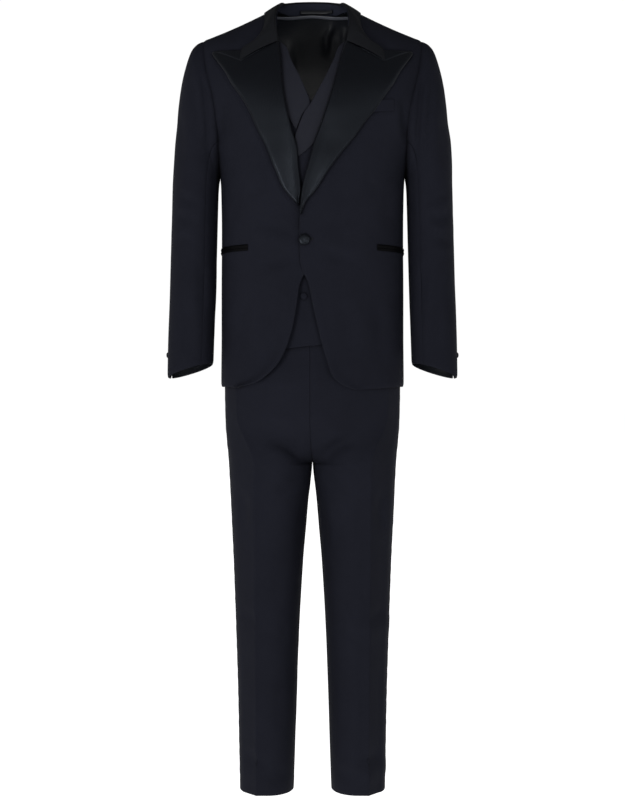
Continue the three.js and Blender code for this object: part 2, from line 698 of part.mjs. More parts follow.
function hipPocket(hand) {
  const name = hand > 0 ? "hip_pocket_left" : "hip_pocket_right";
  const rows = 4;
  const start = spotAt(hand * JET.frontX, JET.z, -1);
  const end = spotRound(hand * JET.backAngle, JET.z);
  const place = (s, t, inside) => {
    const spot = between(start, end, s);
    spot.level += (t - 0.5) * JET.height - JET.drop * s;
    const groove = Math.abs(Math.sin(2 * Math.PI * t));
    return onTorso(spot, inside ? SEAM : SEAM + 0.6 + JET.lip * groove);
  };
  return shifted(wall(name, "satin", 12, rows, place), 0, -SEAM_HALF);
}

// A covered button: a domed disc with a rounded rim, its face along +Z.
function buttonGeometry(diameter, thick) {
  const radius = diameter / 2;
  const profile = [
    new THREE.Vector2(0, 0),
    new THREE.Vector2(radius * 0.8, 0),
    new THREE.Vector2(radius, thick * 0.4),
    new THREE.Vector2(radius * 0.94, thick * 0.7),
    new THREE.Vector2(radius * 0.7, thick * 0.92),
    new THREE.Vector2(0, thick),
  ];
  return new THREE.LatheGeometry(profile, 16).rotateX(Math.PI / 2);
}

function button(name, size, seat, normal) {
  const mesh = new THREE.Mesh(buttonGeometry(size.diameter, size.thick), finishes.satin.clone());
  mesh.name = name;
  mesh.quaternion.setFromUnitVectors(new THREE.Vector3(0, 0, 1), normal);
  mesh.position.copy(seat);
  return mesh;
}

function frontButton() {
  const spot = spotAt(FRONT_BUTTON.x, FRONT_BUTTON.z, -1);
  const seat = onFront(spot, SEAM, 1);
  return button("front_button", FRONT_BUTTON, seat.add(new THREE.Vector3(0, -SEAM_HALF, 0)), outward(seat));
}

function vestButton() {
  const spot = spotAt(VEST_BUTTON.x, VEST_BUTTON.z, -1);
  const seat = onTorso(spot, VEST_OVER_LIFT + SEAM);
  return button("vest_button", VEST_BUTTON, seat.add(new THREE.Vector3(0, -SEAM_HALF, 0)), outward(seat));
}

const sleeveTable = ["outX", "outZ", "inX", "inZ", "deep", "y", "share"];
const sleeveCurves = Object.fromEntries(
  sleeveTable.map((key) => {
    const points = SLEEVE.map((row, i) => new THREE.Vector2(i, row[key]));
    return [key, new THREE.SplineCurve(points)];
  }),
);

// A sleeve's ring by its share of the way from armhole to cuff, at degrees round it, as the armhole's.
function onSleeve(share, degrees, inset, hand) {
  const at = (key) => sleeveCurves[key].getPoint(share).y;
  const turn = radians(degrees);
  const power = (value) => Math.sign(value) * Math.abs(value) ** (2 / SLEEVE_ROUND);
  const ring = (size) => {
    const reach = Math.hypot(size.outX - size.inX, size.outZ - size.inZ) / 2;
    const along = new THREE.Vector3(size.outX - size.inX, 0, size.outZ - size.inZ).normalize();
    const middle = new THREE.Vector3((size.outX + size.inX) / 2, size.y, (size.outZ + size.inZ) / 2);
    middle.addScaledVector(along, (reach - inset) * power(Math.cos(turn)));
    middle.y -= (size.deep - inset) * power(Math.sin(turn));
    return middle;
  };
  const size = Object.fromEntries(sleeveTable.map((key) => [key, at(key)]));
  const point = ring(size);
  const own = Math.max(0, at("share"));
  const seam = onTorso(armholeSpot(degrees, 1), 0);
  const first = SLEEVE[0];
  const plain = ring(first);
  const inward = new THREE.Vector3((first.outX + first.inX) / 2, 0, (first.outZ + first.inZ) / 2).sub(seam);
  seam.addScaledVector(inward.normalize(), inset);
  point.addScaledVector(seam.sub(plain), own);
  point.z += smooth(share, CUFF_SLANT.from, 1) * (CUFF_SLANT.slope * Math.sin(turn) - CUFF_SLANT.drop);
  point.x = hand * (point.x + SEAM + 0.1);
  return point;
}

function hindSeam(share) {
  return mix(HIND_SEAM.top, HIND_SEAM.cuff, share);
}

function sleevePart(hand, upper) {
  const name = `sleeve_${upper ? "top" : "under"}_${hand > 0 ? "left" : "right"}`;
  const rows = 16;
  const gap = 0.25; // degrees that each part stands back from the seam line
  const place = (s, t, inside) => {
    const hind = hindSeam(t);
    const from = upper ? hind + gap : FORE_SEAM + gap;
    const to = upper ? FORE_SEAM - gap : 360 + hind - gap;
    const degrees = mix(from, to, s);
    const point = onSleeve(t, degrees, inside ? WALL : 0, hand);
    if (upper && s === 0 && t === 1) point.z += VENT_NOTCH;
    return point;
  };
  return wall(name, "wool", upper ? 10 : 7, rows, place);
}

function cuffButton(hand) {
  const name = hand > 0 ? "cuff_button_left" : "cuff_button_right";
  const seat = onSleeve(CUFF_BUTTON.share, CUFF_BUTTON.angle, -SEAM, hand);
  const middle = onSleeve(CUFF_BUTTON.share, CUFF_BUTTON.angle, 10, hand);
  const normal = seat.clone().sub(middle).setZ(0).normalize();
  return button(name, CUFF_BUTTON, seat, normal);
}

// How deep the waistcoat lies: its left front on its right one where they cross, both deeper at the neck.
function vestLift(hand, point) {
  const across = smooth(Math.abs(point.x), 60, 120);
  const chest = hand > 0 ? VEST_OVER_LIFT : mix(VEST_UNDER_LIFT, VEST_OVER_LIFT, across);
  return mix(chest, VEST_NECK_LIFT, smooth(point.z, -90, -20));
}

function vestSide(share, side, hand) {
  const low = spotAt(hand * halfAt(VEST_SIDE_HEM), VEST_SIDE_HEM, side);
  const high = spotAt(hand * halfAt(VEST_ARMHOLE_BOTTOM), VEST_ARMHOLE_BOTTOM, side);
  if (share <= VEST_SIDE_SHARE) return between(low, high, share / VEST_SIDE_SHARE);
  const turn = radians(180 * (1 - (share - VEST_SIDE_SHARE) / (1 - VEST_SIDE_SHARE)));
  const top = seamHeight(VEST_SHOULDER.x);
  const z = mix(VEST_ARMHOLE_BOTTOM, top, (1 + Math.cos(turn)) / 2);
  return spotAt(hand * Math.min(vestArmholeX(z), halfAt(z)), z, side);
}

function vestFront(hand) {
  const name = hand > 0 ? "vest_front_left" : "vest_front_right";
  const edge = edgeCurve(hand > 0 ? VEST_LEFT_EDGE : VEST_RIGHT_EDGE, hand);
  const place = (s, t, inside) => {
    const spot = between(spotOnCurve(edge, t, -1), vestSide(t, -1, hand), s);
    const lift = vestLift(hand, onTorso(spot, 0));
    return onTorso(spot, inside ? lift - WALL : lift);
  };
  return shifted(wall(name, "wool", 8, 16, place), 0, -SEAM_HALF);
}

function vestLapel(hand) {
  const name = hand > 0 ? "vest_lapel_left" : "vest_lapel_right";
  const rows = hand > 0 ? VEST_LEFT_LAPEL : VEST_RIGHT_LAPEL;
  const place = (s, t, inside) => {
    const spot = lapelSpot(rows, hand, s, t);
    const under = vestLift(hand, onTorso(spot, 0)) + VEST_LAPEL_GAP;
    return onTorso(spot, inside ? under : under + VEST_LAPEL_WALL);
  };
  return shifted(wall(name, "wool", 3, rows.length * 2 - 2, place), 0, -SEAM_HALF);
}

function vestBack() {
  const neckShare = 0.5;
  const topEdge = (s) => {
    const centre = spotAt(CENTRE, VEST_SHOULDER.rise, 1);
    const neck = spotAt(VEST_SHOULDER.neck, seamHeight(VEST_SHOULDER.neck), 1);
    const shoulder = spotAt(VEST_SHOULDER.x, seamHeight(VEST_SHOULDER.x), 1);
    if (s <= neckShare) {
      const turned = between(centre, neck, s / neckShare);
      return { angle: turned.angle, level: mix(centre.level, YOKE_LEVELS, (s / neckShare) ** 2) };
    }
    return { ...between(neck, shoulder, (s - neckShare) / (1 - neckShare)), level: YOKE_LEVELS };
  };
  const place = (s, t, inside) => {
    const hand = s < 0.5 ? -1 : 1;
    const off = Math.abs(2 * s - 1);
    const low = spotAt(CENTRE, VEST_BACK_HEM, 1);
    const upper = (t - VEST_SIDE_SHARE) / (1 - VEST_SIDE_SHARE);
    const level = upper < 0 ? mix(low.level, 0, t / VEST_SIDE_SHARE) : mix(0, topEdge(0).level, upper);
    const spot = between({ angle: low.angle, level }, vestSide(t, 1, 1), off);
    const straight = between(topEdge(0), topEdge(1), off);
    const pull = smooth(t, VEST_SIDE_SHARE, 1);
    spot.angle += pull * (topEdge(off).angle - straight.angle);
    spot.level += pull * (topEdge(off).level - straight.level);
    const lift = vestLift(1, onTorso(spot, 0));
    const point = onTorso(spot, inside ? lift - WALL : lift);
    point.x *= hand;
    return point;
  };
  return shifted(wall("vest_back", "lining", 16, 16, place), 0, SEAM_HALF);
}

// How deep the trousers lie inside the torso form: deeper where the waistcoat covers them.
function trouserLift(z) {
  return mix(HIP_LIFT, WAIST_LIFT, smooth(z, -730, -675));
}

const legAt = Object.fromEntries(["outer", "inner", "deep", "y"].map((key) => [key, column(LEG, key)]));

// Half of one leg and of the seat above it, from the inseam (s 0) to the outseam (s 1).
function onTrouser(s, z, side, inset, hand) {
  const turn = radians(mix(-90, 90, s));
  const power = (value) => Math.sign(value) * Math.abs(value) ** (2 / LEG_ROUND);
  const width = (legAt.outer(z) - legAt.inner(z)) / 2 - inset;
  const middle = (legAt.outer(z) + legAt.inner(z)) / 2;
  const off = (mix(-90, 90, s) - CREASE.angle) / CREASE.width;
  const seatShare = smooth(z, CROTCH - 30, WAIST - 60);
  const ridge = CREASE.height * Math.max(0, 1 - Math.abs(off)) ** 1.5 * (1 - 0.5 * seatShare);
  const depth = legAt.deep(z) - inset;
  const legX = middle + width * power(Math.sin(turn));
  const legY = legAt.y(z) + side * (depth * power(Math.cos(turn)) + ridge);
  const leg = new THREE.Vector3(legX, legY, z);
  if (z > CROTCH) {
    const drop = THREE.MathUtils.clamp((SEAT - z) / (SEAT - CROTCH), 0, 1);
    const fork = Math.sqrt(1 - drop * drop);
    const hip = smooth(1 - drop, 0, 1);
    const start = side < 0 ? hand * FLY_X * fork : CENTRE;
    const seam = spotAt(start, z, side);
    const angle = mix(seam.angle, Math.PI / 2, s);
    const seat = onTorso({ angle, level: z - YOKE }, trouserLift(z) - inset);
    seat.y += side * ridge * 0.6;
    leg.lerp(seat, mix(fork, hip, smooth(s, 0, 0.45)));
    leg.z = z;
  }
  leg.x *= hand;
  return leg;
}

function trouserPart(hand, side) {
  const name = `trouser_${side < 0 ? "front" : "back"}_${hand > 0 ? "left" : "right"}`;
  const heights = [HEM, -1450, -1360, -1272, -1190, -1110, -1040, -980, -930, CROTCH];
  const above = [-883, -876, -866, -852, -834, -812, SEAT, -740, -700, -660, WAIST - WAISTBAND - SEAM];
  const levels = [...heights, ...above];
  const place = (s, t, inside) => {
    const z = levels[Math.round(t * (levels.length - 1))];
    return onTrouser(s, z, side, inside ? WALL : 0, hand);
  };
  return shifted(wall(name, "wool", 10, levels.length - 1, place), hand * SEAM_HALF, side * SEAM_HALF);
}

function waistband() {
  const open = 0.4; // degrees that its ends stand from the middle front
  const place = (s, t, inside) => {
    const degrees = mix(open, 360 - open, s);
    const turned = degrees > 180 ? degrees - 360 : degrees;
    const z = WAIST - WAISTBAND * (1 - t);
    return onTorso(spotRound(turned, z), WAIST_LIFT - (inside ? WALL : 0)).setZ(z);
  };
  return wall("waistband", "wool", 32, 1, place);
}

const suit = new THREE.Group();
const hands = [1, -1];

function jacket() {
  const group = new THREE.Group();
  for (const hand of hands) {
    group.add(jacketFront(hand), jacketSide(hand), jacketBack(hand));
    group.add(sleevePart(hand, true), sleevePart(hand, false), cuffButton(hand));
    group.add(jacketLapel(hand), hipPocket(hand));
  }
  group.add(collarLeaf(), collarStand(), hangerLoop(), breastWelt(), frontButton());
  return group;
}

function waistcoat() {
  const group = new THREE.Group();
  for (const hand of hands) group.add(vestFront(hand), vestLapel(hand));
  group.add(vestBack(), vestButton());
  return group;
}

function trousers() {
  const group = new THREE.Group();
  for (const hand of hands) group.add(trouserPart(hand, -1), trouserPart(hand, 1));
  group.add(waistband());
  return group;
}

suit.add(jacket(), waistcoat(), trousers());
export default suit;
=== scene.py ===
import math

import bpy
import numpy as np
from bpy.props import FloatProperty, FloatVectorProperty, PointerProperty
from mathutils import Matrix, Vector


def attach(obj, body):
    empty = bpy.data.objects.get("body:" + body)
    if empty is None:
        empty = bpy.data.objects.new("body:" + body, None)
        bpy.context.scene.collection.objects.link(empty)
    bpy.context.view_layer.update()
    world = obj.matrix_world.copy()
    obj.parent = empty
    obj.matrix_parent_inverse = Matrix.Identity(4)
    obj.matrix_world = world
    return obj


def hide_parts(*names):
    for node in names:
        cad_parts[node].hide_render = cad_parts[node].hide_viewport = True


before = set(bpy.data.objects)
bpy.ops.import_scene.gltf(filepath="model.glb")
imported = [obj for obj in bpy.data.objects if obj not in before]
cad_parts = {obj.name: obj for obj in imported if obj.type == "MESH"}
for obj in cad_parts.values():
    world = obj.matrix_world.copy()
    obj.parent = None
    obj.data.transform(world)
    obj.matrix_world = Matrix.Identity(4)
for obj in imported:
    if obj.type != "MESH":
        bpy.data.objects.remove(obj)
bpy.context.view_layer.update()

bl_info = {
    "name": "Evening Suit",
    "version": (1, 0, 0),
    "blender": (4, 5, 0),
    "location": "3D View > Sidebar > Suit",
    "description": "Cuts and sews a three-piece evening suit, filled out as it is when worn",
    "category": "Object",
}

# Lengths in the tables and functions are millimetres, and each mesh is written in metres.
MM = 0.001
ORIGIN_BODY = "root"
HANDS = (1, -1)  # the wearer's left, then the right

# ---- Forms: the torso, the sleeves and the legs that the cloth is cut to -------------------------

ROUND = 2.4  # exponent of the rounded sections
# Height from which the chest rounds over, and how many levels the way from there to the shoulder seam counts
YOKE, YOKE_LEVELS = -200.0, 250.0
# height, half width at the sides, depth of the front, depth of the back
TORSO = [
    (-900, 178, 118, 118), (-740, 182, 122, 120), (-640, 181.5, 119, 120), (-540, 181.5, 116, 108),
    (-440, 181, 115, 99), (-380, 181.5, 118, 103), (-318, 184, 122, 110), (-289, 191, 124, 112),
    (-262, 200, 125, 114), (-235, 209, 126, 115), (-189, 220, 126, 115), (-123, 233, 120, 112),
    (-60, 241, 106, 108), (0, 244, 92, 104), (60, 246, 80, 102),
]
CENTRE = 0.01  # x of the middle at the back, just off it, so that a half knows its side
# The shoulder seam: its outer end, its slope, and how wide it rounds over at the middle
SHOULDER_X, SHOULDER_Z, SHOULDER_SLOPE = 217.0, -44.0, 0.453
RIDGE = 40.0
SHOULDER_DIP = (80.0, 210.0, 3.0)  # from, to, depth of the sag between the neck and the sleeve
ARMHOLE_BOTTOM = -318.0
ARMHOLE = [
    (-318, 184), (-289, 184.5), (-235, 188), (-189, 192), (-160, 198), (-123, 207), (-86, 214), (-44, 217),
]
FRONT_SIDE_SEAM, BACK_SIDE_SEAM = 72.0, 114.0  # degrees round the torso from its middle front
# The share of a piece's side below the armhole, the share of the back's top that the neck takes up, and the share of
# a front that is tucked in under its lapel
FRONT_SIDE_SHARE, BACK_SIDE_SHARE, BACK_NECK_SHARE, TUCK = 13 / 24, 13 / 23, 0.4, 0.024
JACKET_HEM = -733.0

# Edges, from the hem's corner up to the neck: distance towards the piece's own side, height
LEFT_EDGE = [
    (80, -740), (56, -731), (38, -714), (28, -685), (15, -638), (4, -592), (-8, -534), (-19, -512), (-24, -488),
    (-25, -440), (-24, -398), (-18, -352), (-4, -298), (16, -236), (35, -176), (50, -123), (67, -61), (75, -8),
    (77, 20),
]
RIGHT_EDGE = [
    (138, -735), (106, -727), (85, -712), (67, -692), (52, -664), (40, -627), (32, -586), (24, -534), (8, -505),
    (-12, -480), (-20, -440), (-16, -400), (14, -352), (30, -303), (33, -272), (42, -238), (52, -201), (60, -152),
    (64, -109), (70, -61), (75, -8), (77, 20),
]
EDGE = {1: LEFT_EDGE, -1: RIGHT_EDGE}
# Lapels: the roll and the outer edge, paired from the bottom to the gorge
LEFT_LAPEL = [
    (-24, -397, -21, -401), (-23, -378, -13, -378), (-20.5, -353, 7, -353), (-15, -328, 30, -317),
    (-6.5, -297, 55, -283), (3, -262, 78, -255), (13, -236, 103, -220), (24, -204, 120, -200),
    (33, -176, 138, -173), (41.5, -147, 156, -147), (47.5, -123, 170, -121), (56, -91, 196, -77),
    (64.5, -63, 140, -103),
]
RIGHT_LAPEL = [
    (26, -385, 28, -383), (24.5, -370, 45, -365), (22, -353, 58, -346), (25.5, -320, 68, -322),
    (27.5, -303, 76, -303), (30, -272, 88, -272), (39.5, -238, 106, -236), (49, -201, 121, -203),
    (55, -170, 138, -173), (58, -147, 156, -147), (60, -123, 170, -121), (62.5, -91, 196, -77),
    (66.5, -63, 140, -103),
]
LAPEL = {1: LEFT_LAPEL, -1: RIGHT_LAPEL}
# Collar: its fold, the outer edge of its leaf with the side it lies on, and how far the leaf rounds out
COLLAR = [
    (66, -92, -61, 140, -101, -1, 5), (68, -90, -48, 135, -76, -1, 5), (70, -85, -33, 116, -64, -1, 5),
    (72, -75, -13, 99, -42, -1, 3), (70, -58, 8, 94, -20, -1, 2), (63, -32, 24, 94, 2, -1, 1),
    (57.5, -4, 33, 95, 11.2, -1, 1), (55, 24, 38.5, 92, 4, 1, 1), (47, 47, 45, 76, -4, 1, 2),
    (32, 63, 50, 44, -1, 1, 2), (0, 69, 52, 0, 3, 1, 2),
]
COLLAR_ROLL, ROLL_SET_IN = 3.1, 0.9  # radius of the leaf's fold, and how far its middle is set in
STAND_START = 3  # row of COLLAR at which the stand starts
STAND_SEAM, STAND_BELOW, STAND_BEHIND = 0.8, 3.4, 2.1  # its foot over the seam, its top below and behind the fold
STAND_FRONT = [(71.5, -27), (73.4, -12), (74.8, 3), (75.6, 14)]
NECK_X, NECK_RISE, NECK_DROP = 77.0, 12.0, 2.2

# Sleeve rings: outermost x and z, innermost x and z, half depth, middle depth, share of the armhole's outline
SLEEVE = [
    (217, -44, 184, -318, 70, 0, 1), (231, -51, 184.6, -319.5, 71.5, 0, 0.8), (243, -67, 185, -321, 73, 0, 0.55),
    (254, -100, 185.5, -323, 73, 0, 0.3), (262, -136, 186, -326, 72, 0, 0.12), (269, -190, 186.5, -330, 71, 0, 0),
    (275, -252, 187, -337, 70, 0, 0), (279, -325, 188, -352, 69, 1, 0), (281, -400, 189.5, -404, 66, 2, 0),
    (283, -470, 191, -468, 61, 1, 0), (285, -560, 193, -552, 56, -5, 0), (287, -640, 195, -624, 51, -17, 0),
    (287.5, -714, 196.5, -687, 46, -28, 0),
]
SLEEVE_ROUND = 2.15
# Degrees round the sleeve, from its outermost line towards the front, of its two seams
FORE_SEAM, HIND_TOP, HIND_CUFF = 122.0, -80.0, -30.0
# Height of the notch at the cuff's vent, and the share of the sleeve from which the cuff slants
VENT_NOTCH, CUFF_FROM, CUFF_SLOPE, CUFF_DROP = 7.0, 0.75, 5.5, 1.5

# Waistcoat: its hems, the share of a piece's side below the armhole, its armhole, shoulder and layers
VEST_HEM, VEST_BACK_HEM, VEST_SIDE_SHARE = -612.0, -618.0, 0.375
VEST_ARMHOLE = [(-345, 182.5), (-300, 176), (-235, 168), (-160, 164), (-80, 168), (-24, 172)]
VEST_ARMHOLE_BOTTOM, VEST_SHOULDER_X, VEST_NECK_X, VEST_NECK_RISE = -345.0, 172.0, 88.0, 25.0
VEST_OVER, VEST_UNDER, VEST_NECK = -4.8, -7.4, -7.0
VEST_LAPEL_WALL, VEST_LAPEL_LIFT, VEST_LAPEL_ROLL, VEST_NECK_SHARE = 1.4, 1.9, 0.8, 0.5
VEST_NECKLINE = [(22, -141), (41, -101), (52, -72), (69, -56), (83, -20), (88, 14.4)]
VEST_EDGE = {
    1: [
        (-64, -662), (-64, -560), (-58, -420), (-44, -320), (-32, -262), (-27, -235), (-16, -207), (-2, -186),
        *VEST_NECKLINE,
    ],
    -1: [(-40, -640), (-42, -560), (-40, -420), (-30, -300), (-10, -215), (2, -186), *VEST_NECKLINE],
}
VEST_LAPEL_TOP = [(41, -100, 88, -104), (51.5, -71, 96, -70), (69, -55, 101, -52)]
VEST_LAPEL = {
    1: [
        (-28.5, -291, -27, -289), (-34, -257, -11, -277), (-28, -235, 14, -252), (-16, -206, 36, -222),
        (-2, -185, 54, -190), (22, -140, 74, -146), *VEST_LAPEL_TOP,
    ],
    -1: [(31, -236, 33, -236), (19.5, -208, 47, -212), (5.5, -187, 58, -185), (22, -140, 74, -146), *VEST_LAPEL_TOP],
}

# Trousers: height, outer side, inner side, half depth, middle depth
WAIST, WAISTBAND, CROTCH, SEAT, HEM, FLY_X = -583.0, 38.0, -886.0, -786.0, -1535.0, -5.0
LEG = [
    (-1535, 145, 37.5, 76, 6), (-1464, 146.5, 35, 77, 5), (-1336, 149, 31, 80, 4), (-1208, 153, 26, 85, 2),
    (-1080, 157.5, 18.5, 92, 0), (-1016, 160.5, 13, 96, 0), (-952, 163.5, 7.5, 101, 0), (-886, 167, 0.4, 106, 0),
    (-780, 173, 0.4, 110, 0), (-583, 173, 0.4, 110, 0),
]
LEG_ROUND = 2.1
# The pressed crease: height, width and place in degrees, and the hollow beyond it: depth by hand, place, width
CREASE_HEIGHT, CREASE_WIDTH, CREASE_ANGLE = 5.0, 15.0, 20.0
CREASE_HOLLOW, HOLLOW_ANGLE, HOLLOW_WIDTH = {1: 6.0, -1: 3.5}, 24.0, 13.0
# Layers out of the torso form: below the waistcoat and under it, and the heights between which one becomes the other
HIP_LIFT, WAIST_LIFT, UNDER_VEST = -7.0, -10.2, (-730.0, -675.0)

# Pockets, buttons
WELT = (108, 158, -204, -198, 22)  # inner x, outer x, inner z, outer z, height
# The hip pockets: x in front, degrees behind, height, how much lower they end, their height; and both walls
JET_X, JET_BACK, JET_Z, JET_DROP, JET_HEIGHT = 126.0, 104.0, -463.0, 3.0, 12.0
WELT_WALL, JET_WALL = 1.2, 0.6
FRONT_BUTTON = (5.0, -15.5, -450.0)  # thickness, x, z
VEST_BUTTON = (14.0, 3.5, -17.0, -559.0)  # diameter, thickness, x, z
CUFF_BUTTON = (11.5, 5.0, 0.945, -14.0)  # diameter, thickness, share of the sleeve, degrees round it

# The lapel's roll: the share of the grid that it takes up, the degrees that it starts from, behind the edge, and its
# greatest radius as a share of the lapel's width
ROLL_SHARE, ROLL_FROM, ROLL_WIDEST = 0.3, -100.0, 0.42
# How far the outer edge stands off, how far the satin swells behind the roll at the gorge and below it, and how deep
# and how wide its outer edge is pressed
LAPEL_STAND_OFF, SWELL, LOW_SWELL, PRESS_DEPTH, PRESS_REACH = 3.2, 1.4, 4.2, 1.7, 2.6

# Walls and lifts out of the torso form
WALL, SATIN_WALL, LAPEL_LIFT, LEAF_LIFT, SHOULDER_LIFT, OVERLAP_LIFT = 1.8, 1.5, 3.6, 4.1, 2.4, 3.4
OVERLAP_X, OVERLAP_Z = (20, 62), (-330, -235)  # where the left front comes down again
# Heights between which the collar leaf's edge comes down onto the shoulder, and what it is lifted before and after
LEAF_OVER_SHOULDER, LEAF_END_LIFT = (-50, -15), (1.9, 0.3)


def column(rows, place):
    """A smooth function of height through one column of a table whose rows start with their height."""
    z, value = np.array(sorted((row[0], row[place]) for row in rows), float).T
    before, after = np.maximum(np.arange(len(z)) - 1, 0), np.minimum(np.arange(len(z)) + 1, len(z) - 1)
    slope = (value[after] - value[before]) / (z[after] - z[before])

    def at(height):
        height = np.clip(height, z[0], z[-1])
        i = np.clip(np.searchsorted(z, height, side="right") - 1, 0, len(z) - 2)
        span = z[i + 1] - z[i]
        t = (height - z[i]) / span
        rise, start, end = value[i + 1] - value[i], slope[i] * span, slope[i + 1] * span
        return value[i] + start * t + (3 * rise - 2 * start - end) * t**2 + (start + end - 2 * rise) * t**3

    return at


def spline(rows, share):
    """Points at shares from 0 to 1 of the way through a table's rows, on a smooth curve."""
    rows = np.asarray(rows, float)
    last = len(rows) - 1
    place = np.clip(share, 0, 1) * last
    i = np.minimum(place.astype(int), last - 1)
    t = (place - i)[..., None]
    a, b, c, d = rows[np.maximum(i - 1, 0)], rows[i], rows[i + 1], rows[np.minimum(i + 2, last)]
    start, end = (c - a) / 2, (d - b) / 2
    return (2 * b - 2 * c + start + end) * t**3 + (3 * c - 3 * b - 2 * start - end) * t**2 + start * t + b


def evenly(rows, share):
    """The same curve with its shares measured by length."""
    fine = np.linspace(0, 1, 801)
    points = spline(rows, fine)
    length = np.concatenate([[0], np.cumsum(np.linalg.norm(np.diff(points, axis=0), axis=1))])
    return spline(rows, np.interp(share, length / length[-1], fine))


half_at, front_at, back_at = (column(TORSO, i) for i in (1, 2, 3))
armhole_x, vest_armhole_x = column(ARMHOLE, 1), column(VEST_ARMHOLE, 1)
leg_outer, leg_inner, leg_deep, leg_y = (column(LEG, i) for i in (1, 2, 3, 4))


def mix(a, b, share):
    return a + (b - a) * share


def smooth(x, low, high):
    t = np.clip((x - low) / (high - low), 0, 1)
    return t * t * (3 - 2 * t)


def stack(*parts):
    return np.stack(np.broadcast_arrays(*parts), -1)


def seam_height(x):
    off = np.abs(x)
    reach = np.where(off < RIDGE, off * off / (2 * RIDGE) + RIDGE / 2, off)
    start, end, depth = SHOULDER_DIP
    dip = depth * np.sin(math.pi * np.clip((off - start) / (end - start), 0, 1))
    return SHOULDER_Z + SHOULDER_SLOPE * (SHOULDER_X - reach) - dip


def rise_share(x, z):
    return np.maximum(0, (z - YOKE) / (seam_height(x) - YOKE))


def torso_field(p):
    x, y, z = np.moveaxis(p, -1, 0)
    depth = np.where(y < 0, front_at(z), back_at(z))
    across = (np.abs(x) / half_at(z)) ** ROUND
    return (np.abs(y) / depth) ** ROUND - (1 - across) * (1 - rise_share(x, z) ** ROUND)


def outward(p):
    """The direction out of the torso form at points on it or near it."""
    steps = 0.25 * np.eye(3)
    slope = np.stack([torso_field(p + step) - torso_field(p - step) for step in steps], -1)
    return slope / np.maximum(np.linalg.norm(slope, axis=-1, keepdims=True), 1e-12)


def spot_at(x, z, side):
    """A place on the torso as an angle round it and a level, from its x and z on the front (side -1) or back."""
    x, z = np.asarray(x, float), np.asarray(z, float)
    turned = np.arcsin(np.minimum(1, np.abs(x) / half_at(z)) ** (ROUND / 2))
    angle = np.where(np.asarray(side) < 0, turned, math.pi - turned) * np.where(x < 0, -1, 1)
    rise = np.minimum(1, rise_share(x, z))
    above = YOKE_LEVELS * np.arcsin(rise ** (ROUND / 2)) * 2 / math.pi
    return stack(angle, np.where(z <= YOKE, z - YOKE, above))


def spot_round(degrees, z):
    return stack(np.radians(degrees), np.asarray(z) - YOKE)


def on_torso(spot, lift=0.0):
    angle, level = np.moveaxis(spot, -1, 0)
    sine, cosine = np.sin(angle), np.cos(angle)
    across = np.sign(sine) * np.abs(sine) ** (2 / ROUND)
    rise = np.sin(np.clip(level / YOKE_LEVELS, 0, 1) * math.pi / 2) ** (2 / ROUND)
    z = YOKE + np.minimum(0, level)
    x = half_at(z) * across
    for _ in range(12):
        z = np.where(level > 0, YOKE + (seam_height(x) - YOKE) * rise, z)
        x = half_at(z) * across
    depth = np.where(cosine > 0, -front_at(z), back_at(z))
    y = depth * (cosine**2 * (1 - rise**ROUND)) ** (1 / ROUND)
    point = stack(x, y, z)
    return point + outward(point) * np.asarray(lift)[..., None]


def on_curve(rows, share, hand, side=-1):
    """Places along a front edge, which the shoulder seam limits."""
    x, z = np.moveaxis(evenly(rows, share), -1, 0)
    return spot_at(hand * x, np.minimum(z, seam_height(x)), side)


def armhole_spot(degrees, hand):
    """The armhole's seam, by degrees round it from the top: the front half is under 180, the back half over it."""
    turn = np.radians(degrees)
    z = (SHOULDER_Z + ARMHOLE_BOTTOM) / 2 + (SHOULDER_Z - ARMHOLE_BOTTOM) / 2 * np.cos(turn)
    x = np.minimum(armhole_x(z), half_at(z))
    return spot_at(hand * x, z, np.where(np.sin(turn) >= 0, -1, 1))


def armhole_degrees(torso_angle):
    low, high = (90.0, 180.0) if torso_angle < 90 else (180.0, 270.0)
    for _ in range(40):
        middle = (low + high) / 2
        if armhole_spot(middle, 1)[0] < math.radians(torso_angle):
            low = middle
        else:
            high = middle
    return (low + high) / 2


FRONT_MEETS, BACK_MEETS = armhole_degrees(FRONT_SIDE_SEAM), armhole_degrees(BACK_SIDE_SEAM)


def side_edge(t, side_share, degrees, meets, top, hand):
    """The side seam and then the armhole, from the hem up to the shoulder point."""
    low, high = spot_round(hand * degrees, JACKET_HEM), armhole_spot(meets, hand)
    seam = mix(low, high, np.clip(t / side_share, 0, 1)[..., None])
    hole = armhole_spot(mix(meets, top, np.clip((t - side_share) / (1 - side_share), 0, 1)), hand)
    return np.where((t <= side_share)[..., None], seam, hole)


def on_front(spot, lift, hand):
    """A place on the jacket's front: the left one stands out where it lies on the right one."""
    if hand < 0:
        return on_torso(spot, lift)
    flat = on_torso(spot)
    over = (1 - smooth(flat[..., 0], *OVERLAP_X)) * (1 - smooth(flat[..., 2], *OVERLAP_Z))
    return on_torso(spot, lift + OVERLAP_LIFT * over)


def rounded(turn, power):
    """Cosine and sine of a rounded section with a power of more than 2, which is a little squarer than an ellipse."""
    return (np.sign(v) * np.abs(v) ** (2 / power) for v in (np.cos(turn), np.sin(turn)))


